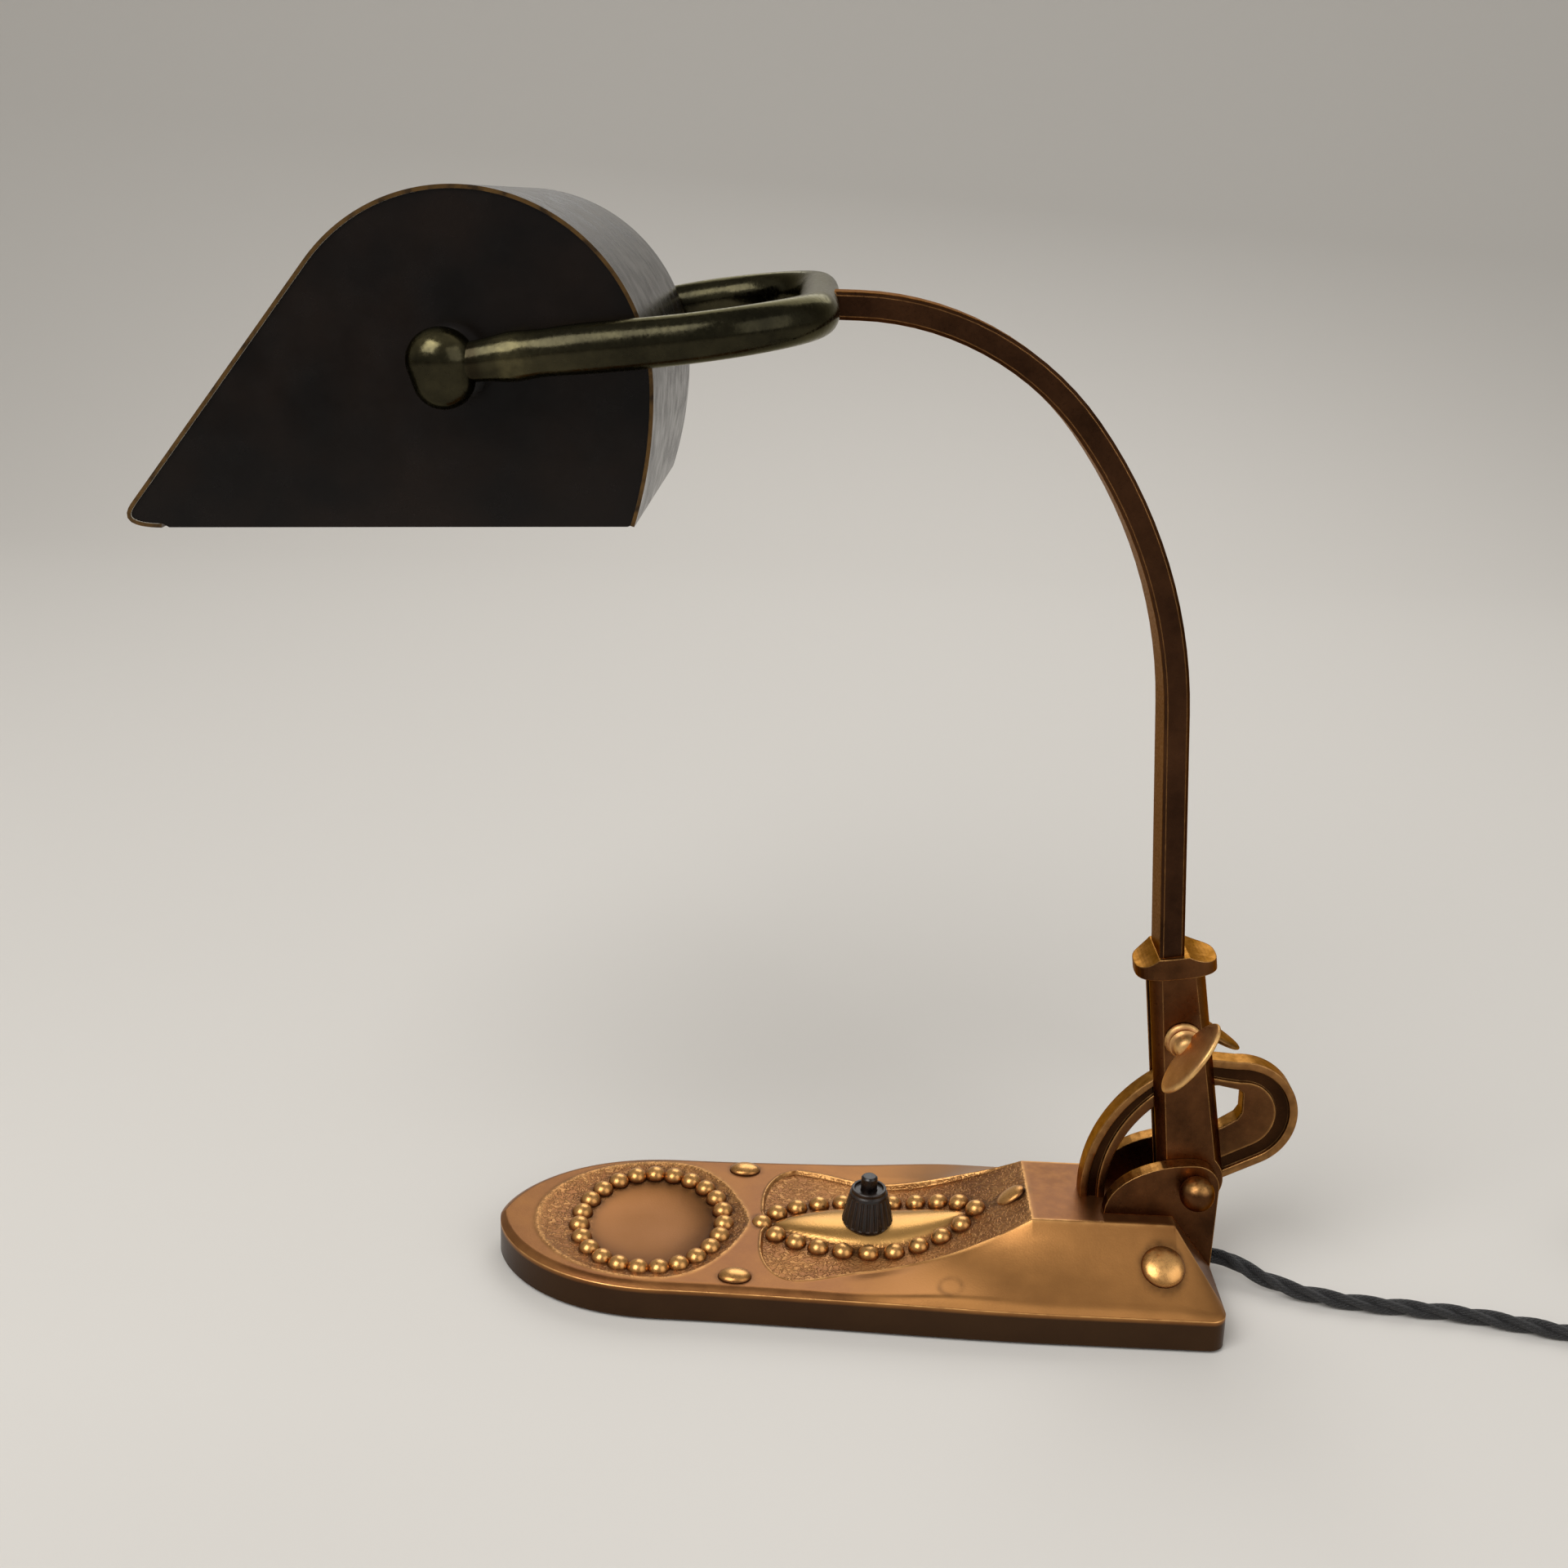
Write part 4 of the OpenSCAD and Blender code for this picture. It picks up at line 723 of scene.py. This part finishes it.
# layers of colour over the cloudy ground, each in its mask's place and at most so strong; some are patchy
def castBrass(s):
    material, tree, shader = startMaterial("castBrassRubbed", Metallic=0.9)
    spot = objectSpot(tree)
    clouds = noise(tree, spot, s["cloud"], 7.0, Roughness=0.6)
    paint = toned(tree, clouds, (0.34, s["groundDark"]), (0.66, s["ground"]))
    worms = noise(tree, spot, s["stipple"], 1.5, Distortion=1.6)
    marks = maths(tree, "MULTIPLY", stretched(tree, worms, 0.44, 0.6), carried(tree, "stipple"))
    patch = stretched(tree, noise(tree, spot, s["patch"], 4.0), 0.35, 0.6, 0.4, 1.0)
    polish = carried(tree, "polish")
    layers = [("flank", carried(tree, "flank"), 0.7), ("plateau", carried(tree, "plateau"), 0.8),
              ("bowl", carried(tree, "bowl"), 0.75), ("gold", marks, 0.3), ("polish", polish, 0.9),
              # the skirt's colour is painted shade on the sides; the next layer is dark soiling and painted
              # shade in hollows
              ("skirt", carried(tree, "skirt"), 0.93), ("soilAndShade", carried(tree, "soilAndShade"), 0.8),
              ("gold", carried(tree, "wear"), 0.9)]
    for code, mask, most in layers:
        share = maths(tree, "MULTIPLY", mask, most, clamp=True)
        if code in ("gold", "soilAndShade", "plateau"):
            share = maths(tree, "MULTIPLY", share, patch)
        paint = mixed(tree, share, paint, colour(s[code]))
    dull = maths(tree, "MULTIPLY_ADD", polish, -0.1, stretched(tree, clouds, 0.3, 0.7, 0.30, 0.46))
    height = maths(tree, "MULTIPLY_ADD", noise(tree, spot, s["grit"], 3.0), 0.16, marks)
    closeMaterial(tree, shader, paint, dull, height, 0.55, 0.4)
    return material


# the same brass on beads and bosses: bright crowns, painted shade in the seam round the foot
def beadBrass(s):
    material, tree, shader = startMaterial("castBrassBeads", Metallic=0.92)
    paint = toned(tree, carried(tree, "wear"), (0.03, s["soilAndShade"]), (0.16, s["groundDark"]), (0.45, s["flank"]),
                  (0.95, s["gold"]))
    fine = noise(tree, objectSpot(tree), 1.2, 4.0)
    closeMaterial(tree, shader, paint, stretched(tree, fine, 0.3, 0.7, 0.22, 0.38), fine, 0.2, 0.2)
    return material


# woven cloth cover of the flex: black, fine crossing threads, a dull shine on the crown of each strand
clothSet = {"dark": "#040404", "light": "#161415", "thread": 1.5, "lean": 9.0}


# threads: the higher of two waves that lean opposite ways round the strand
def clothBlack(s):
    material, tree, shader = startMaterial("clothFlexBlack",
                                           **{"Metallic": 0.0, "Sheen Weight": 0.1, "Roughness": 0.5})
    weave = []
    for lean in (s["lean"], -s["lean"]):
        turn = maths(tree, "MULTIPLY_ADD", carried(tree, "across"), lean, carried(tree, "along"))
        weave.append(maths(tree, "SINE", maths(tree, "MULTIPLY", turn, 2 * math.pi / s["thread"])))
    thread = maths(tree, "MAXIMUM", *weave)
    paint = toned(tree, stretched(tree, thread, -0.6, 1.0), (0.0, s["dark"]), (1.0, s["light"]))
    closeMaterial(tree, shader, paint, None, thread, 0.6, 0.3)
    return material


# smooth hard finish with faint mottling and fine scratches: moulded plastic, rubber, felt, frosted glass
def hardFinish(name, dark, light, roughness, cloud, edgeCode=None, bumpStrength=0.05):
    material, tree, shader = startMaterial(name)
    spot = objectSpot(tree)
    clouds = noise(tree, spot, cloud, 5.0)
    paint, rounded = toned(tree, clouds, (0.35, dark), (0.65, light)), None
    if edgeCode:
        mask, rounded = edgeMask(tree, 0.5)
        paint = mixed(tree, maths(tree, "MULTIPLY", mask, clouds), paint, colour(edgeCode))
    dull = stretched(tree, clouds, 0.3, 0.7, roughness - 0.05, roughness + 0.07)
    closeMaterial(tree, shader, paint, dull, noise(tree, spot, 0.9, 3.0), bumpStrength, 0.2, rounded)
    return material


# dark lacquer on sheet brass: deep gloss that mirrors what is near, bare brass on the cut edges,
# pale enamel on the inside
def lacquerSheet(name, dark, light, edgeCode, insideCode):
    material, tree, shader = startMaterial(name, **{"Metallic": 0.0, "Specular IOR Level": 0.18})
    spot = objectSpot(tree)
    tone = toned(tree, noise(tree, spot, 28, 6.0), (0.35, dark), (0.65, light))
    chips = stretched(tree, noise(tree, spot, 4, 4.0), 0.35, 0.55, 0.2, 1.0)
    bare = maths(tree, "MULTIPLY", carried(tree, "wear"), chips)
    tree.links.new(bare, shader.inputs["Metallic"])
    paint = mixed(tree, carried(tree, "inside"), tone, colour(insideCode))
    paint = mixed(tree, bare, paint, colour(edgeCode))
    fine = noise(tree, spot, 9, 5.0)
    closeMaterial(tree, shader, paint, stretched(tree, fine, 0.3, 0.7, 0.16, 0.3), fine, 0.02, 0.2)
    return material


# arm's own frame: u along its foot, w up the arm, turned by its lean about the pin
armSet = {"pivotX": 127.5, "pivotZ": 46.5, "lean": 9}


def armPoints(u, y, w, s=armSet):
    return turnedFrame(u, y, w, s["pivotX"], s["pivotZ"], s["lean"])


armAlong, armUp = armPoints(1, 0, 0) - armPoints(0, 0, 0), armPoints(0, 0, 1) - armPoints(0, 0, 0)


# round rod along a path: circles of the given radii square to the path
def rodPoints(path, radius, up, around):
    side, over = squareTo(path, up)
    t = np.linspace(0, 2 * np.pi, around, endpoint=False)[None, :, None]
    ring = side[:, None] * np.cos(t) + over[:, None] * np.sin(t)
    return path[:, None] + ring * np.asarray(radius)[:, None, None]


# turned shape: rings of radius r at heights h along an axis
def turnedPoints(r, h, middle, axis, first, around):
    axis, first = np.asarray(axis, float), np.asarray(first, float)
    t = np.linspace(0, 2 * np.pi, around, endpoint=False)[None, :, None]
    ring = np.cos(t) * first + np.sin(t) * np.cross(axis, first)
    return np.asarray(middle) + np.asarray(h)[:, None, None] * axis + np.asarray(r)[:, None, None] * ring


# fork: one bent rod, thinner where it enters each knob, with a slight swell beyond the neck; a little
# twisted, so that the near leg drops and the far leg rises on the way to the cross part
forkSet = {
    "crossU": -102.334, "height": 334.527, "half": 80, "corner": 35, "knobU": -212.334, "knobGap": 5,
    "nearDrop": 1.2, "farLift": 2.6, "step": 2.0, "around": 44,
    "swell": [(0, 5.8), (5, 5.9), (9, 6.3), (16, 7.2), (24, 6.85), (34, 7.2), (70, 7.2), (120, 6.9),
              (400, 6.9)],   # distance from the knob's end, radius
}


# path: straight leg, quarter round, cross part, and the same again on the far side
def makeFork(s, material):
    t = np.linspace(0, np.pi / 2, 24)
    bend = s["crossU"] - s["corner"]
    u = np.concatenate([[s["knobU"] + s["knobGap"]], bend + s["corner"] * np.sin(t)])
    y = np.concatenate([[-s["half"]], s["corner"] * (1 - np.cos(t)) - s["half"]])
    line = armPoints(np.concatenate([u, u[::-1]]), np.concatenate([y, -y[::-1]]), s["height"])
    path, at = evenLine(line, s["step"])
    far = np.minimum(at, at[-1] - at)
    most = np.where(path[:, 1] < 0, s["nearDrop"], s["farLift"])
    twist = most * path[:, 1] / s["half"] * easeStep(far, 20, 70)
    path = path + twist[:, None] * armUp
    points = rodPoints(path, smoothCurve(far, *zip(*s["swell"])), armUp, s["around"])
    makePiece("forkRod", closedParts(points), material, "arm", ("fork", "fork_ferrules"), 60,
              {"soilAndShade": ringValues(bell(far - 5, 1.2), s["around"]),
               "wear": ringValues(0.35 * bell(far - 16, 5), s["around"])})
    print("fork:", round(at[-1]), "mm of rod")


# knobs: eggs turned about the arm's up line, a larger round above and a smaller one below with a cone
# between
knobSet = {"top": 9.57, "low": 8.6, "span": 5.7, "lift": 1.6, "widen": 1.07, "around": 56}


# radius against height: two arcs, each as far as the cone touches it; then widened along the arm
def makeKnobs(s, f, material):
    lean = math.asin((s["top"] - s["low"]) / s["span"])
    upper, lower = np.linspace(np.pi / 2, -lean, 26)[1:], np.linspace(-lean, -np.pi / 2, 26)[:-1]
    r = np.concatenate([s["top"] * np.cos(upper), s["low"] * np.cos(lower)])
    h = s["lift"] + np.concatenate([s["top"] * np.sin(upper), s["low"] * np.sin(lower) - s["span"]])
    for name, side, node in (("knobNear", -1, "knob_near"), ("knobFar", 1, "knob_far")):
        middle = armPoints(f["knobU"], side * f["half"], f["height"])
        points = turnedPoints(r, h, middle, armUp, armAlong, s["around"])
        points = points + ((points - middle) @ armAlong)[..., None] * armAlong * (s["widen"] - 1)
        makePiece(name, closedParts(points), material, "arm", (node,), 60,
                  {"wear": ringValues(0.5 * bell(h - 8, 3), s["around"])})
    print("knobs: 2")


# shade: a bent sheet with a drawn-in back, a round top, a straight front and a lip that turns under
shadeSet = {
    "x": -134.552, "z": 343.692, "tilt": 1.7, "roundA": 2.9, "roundB": -7.3, "topR": 57.8, "backR": 133,
    "backTurn": 18.27, "frontAngle": 140.77, "frontRun": 93, "lipLow": -50.4, "lipEnd": -92,
    "half": 68, "sheet": 1.2, "inset": 0.7, "studR": 3.4, "step": 1.6, "boss": (8, 11),
}


# shade's own frame: a along its foot, b up, turned by its tilt about the studs
def shadePoints(a, y, b, s=shadeSet):
    return turnedFrame(a, y, b, s["x"], s["z"], s["tilt"])


# points on a round from one angle to another, in degrees
def arcLine(x, z, r, first, last, count):
    t = np.radians(np.linspace(first, last, count))
    return np.stack([x + r * np.cos(t), z + r * np.sin(t)], axis=-1)


# outer line of the sheet: two arcs, a straight, and a lip on a curve bent towards one corner point
def sheetLine(s):
    back = arcLine(s["roundA"] + s["topR"] - s["backR"], s["roundB"], s["backR"], -s["backTurn"], 0, 16)[:-1]
    top = arcLine(s["roundA"], s["roundB"], s["topR"], 0, s["frontAngle"], 80)
    end = math.radians(s["frontAngle"])
    ahead = np.array([-math.sin(end), math.cos(end)])
    first = top[-1] + s["frontRun"] * ahead
    corner = top[-1] + ahead * (s["lipLow"] - top[-1, 1]) / ahead[1]
    k = np.linspace(0, 1, 24)[:, None]
    lip = (1 - k) ** 2 * first + 2 * k * (1 - k) * corner + k**2 * np.array([s["lipEnd"], s["lipLow"]])
    return evenLine(np.concatenate([back, top, lip]), s["step"])[0]


# shell: the sheet's line and the same line one thickness further in, carried across from end to end
def makeShade(s, material):
    line = sheetLine(s)
    way = unit(np.gradient(line, axis=0))
    inner = line + s["sheet"] * np.stack([-way[:, 1], way[:, 0]], axis=-1)
    ring = np.concatenate([line, inner[::-1]])
    y = s["half"] * np.concatenate([[-1, -0.994], np.linspace(-0.97, 0.97, 24), [0.994, 1]])
    points = shadePoints(ring[None, :, 0], y[:, None], ring[None, :, 1])
    n, m = len(line), len(y)
    wear, inside = np.zeros((m, 2 * n)), np.zeros((m, 2 * n))
    wear[[0, -1]] = 0.6
    wear[:, [0, n - 1, n, -1]] = 0.4
    inside[1:-1, n + 1:-1] = 1
    strips = [gridPart(np.stack([shadePoints(q[:, 0], k, q[:, 1]) for q in (line, inner)]))
              for k in (-s["half"], s["half"])]
    makePiece("shadeShell", [gridPart(points, wrap=True), *strips], material, "shade",
              ("shade_shell",), 50, {"wear": np.concatenate([wear.ravel(), np.full(4 * n, 0.6)]),
                                     "inside": np.concatenate([inside.ravel(), np.zeros(4 * n)])})
    # end plates: rings from the stud hole out to the sheet, flat, with a low pressed boss round the stud
    bottom = np.linspace(0, 1, 70)[1:-1, None]
    edge = np.concatenate([inner, line[-1] + (line[0] - line[-1]) * bottom])
    reach = np.linalg.norm(edge, axis=1)
    k = np.concatenate([np.linspace(0, 0.25, 12), np.linspace(0.3, 0.97, 12), [0.99, 1]])[:, None]
    radius = s["studR"] + (reach[None, :] - s["studR"]) * k
    flat = edge[None] / reach[None, :, None] * radius[..., None]
    out = s["half"] - s["inset"] * easeStep(radius, *s["boss"])
    for name, side, node in (("endPlateNear", -1, "end_plate_near"), ("endPlateFar", 1, "end_plate_far")):
        faces = [shadePoints(flat[..., 0], side * (out - d), flat[..., 1]) for d in (0, s["sheet"])]
        grid = np.concatenate([faces[0], faces[1][::-1], faces[0][:1]])
        ones, zero = np.ones(radius.shape), np.zeros(radius.shape)
        makePiece(name, [gridPart(grid, wrap=True)], material, "shade", (node,), 50,
                  {"inside": np.concatenate([zero, ones, zero[:1]]).ravel()})
    print("shade:", n, "points along the sheet")


# wing screw and wing nut: a turned hub with a flat leaf on its end
wingSet = {
    "x": 118.35, "z": 104.28, "turn": 56, "start": 9.35, "shaft": 2.45,
    "screwLeaf": (16, 10.5, 24.5, 0), "nutLeaf": (21, 8, 20.4, 12),   # half length, half width, out, along
    "nutTurn": 86, "thick": 1.35, "rodEnd": -16.3, "around": 48,
    "hub": [(0, 0.3, 0), (0, 6.3, 0.3), (0.5, 6.9, 0.9), (1.3, 6.8, 0.9), (1.9, 6.1, 0.5), (2.3, 5.3, 0),
            (3, 5.2, 0.2), (3.6, 5.8, 0.9), (4.3, 5.8, 0.9), (4.8, 5.0, 0.5), (5.6, 4.5, 0.6), (7.2, 4.3, 0.8),
            (8.6, 3.8, 0.8), (9.4, 2.6, 0.8), (9.8, 0.3, 0.8)],   # height, radius, shine
}


# leaf: an ellipse with a rounded edge, thickness falling off only near the rim
def leafPoints(s, middle, along, out, flat, half, reach):
    rim = 1 - 0.14 * (1 - np.sin(np.linspace(0, np.pi / 2, 9)[1:]))
    k = np.concatenate([np.linspace(0.02, 0.86, 10), rim])
    k = np.concatenate([k, k[-2::-1]])
    side = np.concatenate([np.ones(18), -np.ones(17)])
    thick = s["thick"] * np.sqrt(1 - k**10) * side
    t = np.linspace(0, 2 * np.pi, s["around"], endpoint=False)[None, :, None]
    k, thick = k[:, None, None], thick[:, None, None]
    return middle + k * (half * np.cos(t) * along + reach * np.sin(t) * out) + thick * flat


# the screw's leaf stands along its own turn, the nut's is turned on from there
def makeWings(s, material, duller):
    turn = math.radians(s["turn"])
    along = np.array([math.cos(turn), 0, math.sin(turn)])
    flat = np.array([-math.sin(turn), 0, math.cos(turn)])
    middle = np.array([s["x"], 0, s["z"]])
    turned = math.radians(s["nutTurn"])
    nutAlong = along * math.cos(turned) - flat * math.sin(turned)
    nutFlat = along * math.sin(turned) + flat * math.cos(turned)
    h, r, shine = np.array(s["hub"]).T
    h = s["start"] + h
    for name, side, body, node, leaf, a, f in (
            ("wingScrew", -1, "screw_wing", "wing_screw", s["screwLeaf"], along, flat),
            ("wingNut", 1, "nut_wing", "wing_nut", s["nutLeaf"], nutAlong, nutFlat)):
        rubbed = 1.0 if side < 0 else 0.5
        out = np.array([0.0, side, 0.0])
        half, reach, far, shift = leaf
        hub = turnedPoints(r, h, middle, out, along, s["around"])
        blade = leafPoints(s, middle + out * far + a * shift, a, out, f, half, reach)
        parts, wear = closedParts(hub) + closedParts(blade), [ringValues(shine, s["around"])]
        edge = np.concatenate([np.linspace(0.1, 0.25, 10), np.linspace(0.4, 1, 8)])
        wear.append(ringValues(rubbed * np.concatenate([edge, edge[-2::-1]]), s["around"]))
        if side < 0:
            rod = turnedPoints([s["shaft"]] * 2, [s["rodEnd"], s["start"]], middle, out, along, s["around"])
            parts += closedParts(rod)
            wear.append(ringValues([0.2, 0.2], s["around"]))
        makePiece(name, parts, material if side < 0 else duller, body, (node,), 50,
                  {"wear": np.concatenate(wear)})
    print("wings: 2")


# sector: a band carried along its path, from the foot over the top, round the lobe and back to the pin;
# across it go a proud rim, a sunk channel and an inner band
sectorSet = {
    "arcX": 145.8, "arcZ": 37.5, "arcR": 59.3, "band": 9.7, "lobeX": 143.5, "lobeZ": 71.5, "lobeR": 22,
    "eyeX": 127.5, "eyeZ": 46.5, "eyeR": 10, "pinR": 4.15,
    "half": 4, "floor": 2.6, "inner": 3.8, "rim": 3.0, "channel": (3.7, 5.2), "around": 48,
}


# outer and inner line point by point, and between them columns at set distances and depths
def makeSector(s, material):
    ax, az, lx, lz = s["arcX"], s["arcZ"], s["lobeX"], s["lobeZ"]
    outA = arcLine(ax, az, s["arcR"], 193, 107, 60)
    inA = arcLine(ax, az, s["arcR"] - s["band"], 193, 117, 60)
    outC = arcLine(lx, lz, s["lobeR"], 96, -62, 60)
    inB, _ = evenLine([inA[-1], (lx - 9.1, lz + 12), (lx - 1, lz + 10.5)], count=16)
    inC, _ = evenLine([inB[-1], (lx + 0.7, lz + 9), (lx + 1, lz + 1), (lx - 0.5, lz - 1.7)], count=60)
    inD, _ = evenLine([inC[-1], (lx - 5.8, lz - 5.5), (lx - 23, lz - 11.6)], count=24)
    outB, _ = evenLine([outA[-1], outC[0]], count=16)
    outD, _ = evenLine([outC[-1], (s["eyeX"] + s["eyeR"] * 0.94, s["eyeZ"] - s["eyeR"] * 0.34)], count=24)
    outer = np.concatenate([outA, outB[1:-1], outC, outD[1:]])
    inner = np.concatenate([inA, inB[1:-1], inC, inD[1:]])
    across = inner - outer
    width = np.linalg.norm(across, axis=1)
    wide = np.interp(np.arange(len(outer)), [58, 76], s["channel"])
    zero, rim, far = np.zeros_like(width), s["rim"], s["rim"] + wide
    e = np.stack([zero, zero + 0.35, zero + rim - 0.3, zero + rim, zero + rim + 0.35, far, far + 0.35,
                  far + 1.2, width - 0.4, width], axis=-1)
    half, floor, band = s["half"], s["floor"], s["inner"]
    deep = np.array([half - 0.35, half, half, half - 0.2, floor, floor, band, band, band, band - 0.35])
    flat = outer[:, None] + across[:, None] * (e / width[:, None])[..., None]
    faces = [np.stack([flat[..., 0], np.broadcast_to(k * deep, e.shape), flat[..., 1]], axis=-1)
             for k in (-1, 1)]
    points = np.concatenate([faces[0], faces[1][:, ::-1]], axis=1)
    rub = np.array([0.5, 0.4, 0.25, 0.6, 0, 0, 0.5, 0.05, 0, 0.3])
    # painted shade on the floor of the sunk channel
    paintedShade = np.array([0, 0, 0, 0, 0.8, 0.65, 0, 0, 0, 0])
    rows = {"wear": np.concatenate([rub, rub[::-1]]), "soilAndShade": np.concatenate([paintedShade, paintedShade[::-1]])}
    eyeR, pinR = s["eyeR"], s["pinR"]
    r = np.array([pinR, eyeR - 0.4, eyeR, eyeR, eyeR - 0.4, pinR, pinR])
    h = np.array([-half, -half, 0.4 - half, half - 0.4, half, half, -half])
    eye = turnedPoints(r, h, (s["eyeX"], 0, s["eyeZ"]), (0, 1, 0), (1, 0, 0), s["around"])
    plain = np.zeros(len(r) * s["around"])
    values = {k: np.concatenate([np.tile(v, len(outer)), v, [v.mean()], v, [v.mean()], plain])
              for k, v in rows.items()}
    makePiece("sectorBand", closedParts(points) + [gridPart(eye, wrap=True)], material, "base",
              ("sector",), 35, values)
    print("sector:", len(outer), "sections")


# finish laid on solids that are shown as they are
def dress(material, *names):
    for name in names:
        mesh = nodes[name].data
        mesh.materials.clear()
        mesh.materials.append(material)


brass = castBrass(castSet)
beads = beadBrass(castSet)
makeCord(cordSet, clothBlack(clothSet))
makeBase(brass)
makeOrnament(beads)

# brown patina, rubbed golden on edges, with a painted highlight on upper faces
patina = wornMetal("patinaBrassBrown", "#3a2415", "#6c4528", "#cf9a5b", 0.34, 26, edge=0.6, topHighlight=0.75)
# nearly black brown for the bar, with thin golden edges
darkPatina = wornMetal("patinaBrassDark", "#2b1b12", "#4c311f", "#b5824c", 0.34, 30, edge=0.6)
# brass kept light and satin by fingers
handled = wornMetal("patinaBrassHandled", "#9a6440", "#c48c5e", "#e3b877", 0.44, 14, rubAmount=0.9)
# clean brass with a soft shine
polished = wornMetal("brassPolishedDull", "#a06d3e", "#c48f55", "#e6bd80", 0.26, 10, rubAmount=0.6)
# dark olive bronze, smooth, with long clear highlights
bronze = wornMetal("bronzeOliveDark", "#211f17", "#3d3929", "#7c7350", 0.2, 24, 1.2, rubAmount=0.6,
                   glance="#dddacb")
# grey rolled sheet, dull
steel = wornMetal("steelSheet", "#5d5a56", "#8a8681", "#b5b1ab", 0.4, 12, edge=0.5, glance="#f2f1ef")
# brown-black lacquer, nearly a mirror
lacquer = lacquerSheet("lacquerBrownBlack", "#0a0706", "#150e0a", "#7d5e36", "#d9d2c2")
makeFork(forkSet, bronze)
makeKnobs(knobSet, forkSet, bronze)
makeShade(shadeSet, lacquer)
makeWings(wingSet, handled, patina)
makeSector(sectorSet, patina)
dress(patina, "cheek_near", "cheek_far", "pivot_pin", "post_near", "post_far", "collar")
dress(darkPatina, "arm_bar")
dress(polished, "pivot_cap")
dress(bronze, "shade_studs", "stud_nuts", "stud_washers", "bulb_bracket")
dress(steel, "bottom_plate", "bottom_screws", "switch_nut", "plug_pins")
# black-brown plastic with a low shine and lighter worn edges
bakelite = hardFinish("bakeliteBlackBrown", "#0b0605", "#1d110c", 0.3, 4, "#65503f")
dress(bakelite, "switch_bezel", "switch_body", "push_button", "lamp_holder")
# plain black plastic, a little rougher
dress(hardFinish("bakelitePlugBlack", "#0c0b0b", "#1a1716", 0.35, 5, "#3a3431", 0.1), "plug_body")
# matt black rubber
dress(hardFinish("rubberBlack", "#0b0a0a", "#171515", 0.6, 3, bumpStrength=0.2), "cord_bush")
# black felt with no shine and a short nap
dress(hardFinish("feltBlack", "#0a0909", "#171514", 0.9, 1.5, bumpStrength=0.6), "felt_pad")
# warm white glass, soft
dress(hardFinish("glassFrosted", "#efe6d4", "#fbf5e8", 0.4, 15), "bulb")
print("materials:", len(bpy.data.materials))

# floor and soft studio light
lightSet = {
    "floor": "#d6d2cc", "bendY": 1.4, "bendR": 1.6,
    "lamps": [
        ("keyLight", (-0.9, -1.1, 1.7), 1.3, 28),
        ("fillLight", (1.4, -1.0, 1.1), 1.6, 10),
        ("backLight", (0.2, 1.5, 1.5), 1.4, 12),
    ],
    "target": (0.0, 0.0, 0.18), "world": 0.45, "sky": "#f2f0ec", "reach": (8.0, 9.0),
}


# floor and backdrop in one sheet: level, a quarter round, then a wall
def makeStage(s):
    t = np.linspace(0, np.pi / 2, 24)
    deep, wide = s["reach"]
    y = np.concatenate([[-deep, 0.0], s["bendY"] + s["bendR"] * np.sin(t), [s["bendY"] + s["bendR"]]])
    z = np.concatenate([[0.0, 0.0], s["bendR"] * (1 - np.cos(t)), [deep]])
    points = np.stack([np.stack([np.full_like(y, k), y, z], axis=-1) for k in (wide, -wide)], axis=1)
    corners, quads = gridPart(points)
    mesh = bpy.data.meshes.new("paleFloor")
    mesh.from_pydata(corners.tolist(), [], quads.tolist())
    mesh.shade_smooth()
    floor = bpy.data.objects.new("paleFloor", mesh)
    bpy.context.scene.collection.objects.link(floor)
    material, *_ = startMaterial("floorPale", **{"Roughness": 0.85, "Base Color": colour(s["floor"])})
    mesh.materials.append(material)
    for name, spot, size, power in s["lamps"]:
        data = bpy.data.lights.new(name, "AREA")
        data.size = size
        data.energy = power
        lamp = bpy.data.objects.new(name, data)
        ahead = unit(np.array(s["target"]) - np.array(spot))
        side = unit(np.cross(ahead, [0, 0, 1.0]))
        axes = np.stack([side, np.cross(side, ahead), -ahead, np.array(spot)], axis=1)
        lamp.matrix_world = Matrix([*axes.tolist(), [0, 0, 0, 1]])
        bpy.context.scene.collection.objects.link(lamp)
    world = bpy.data.worlds.new("studio")
    world.use_nodes = True
    sky = world.node_tree.nodes["Background"]
    sky.inputs["Color"].default_value = colour(s["sky"])
    sky.inputs["Strength"].default_value = s["world"]
    bpy.context.scene.world = world


makeStage(lightSet)
bpy.context.scene.view_settings.view_transform = "Standard"
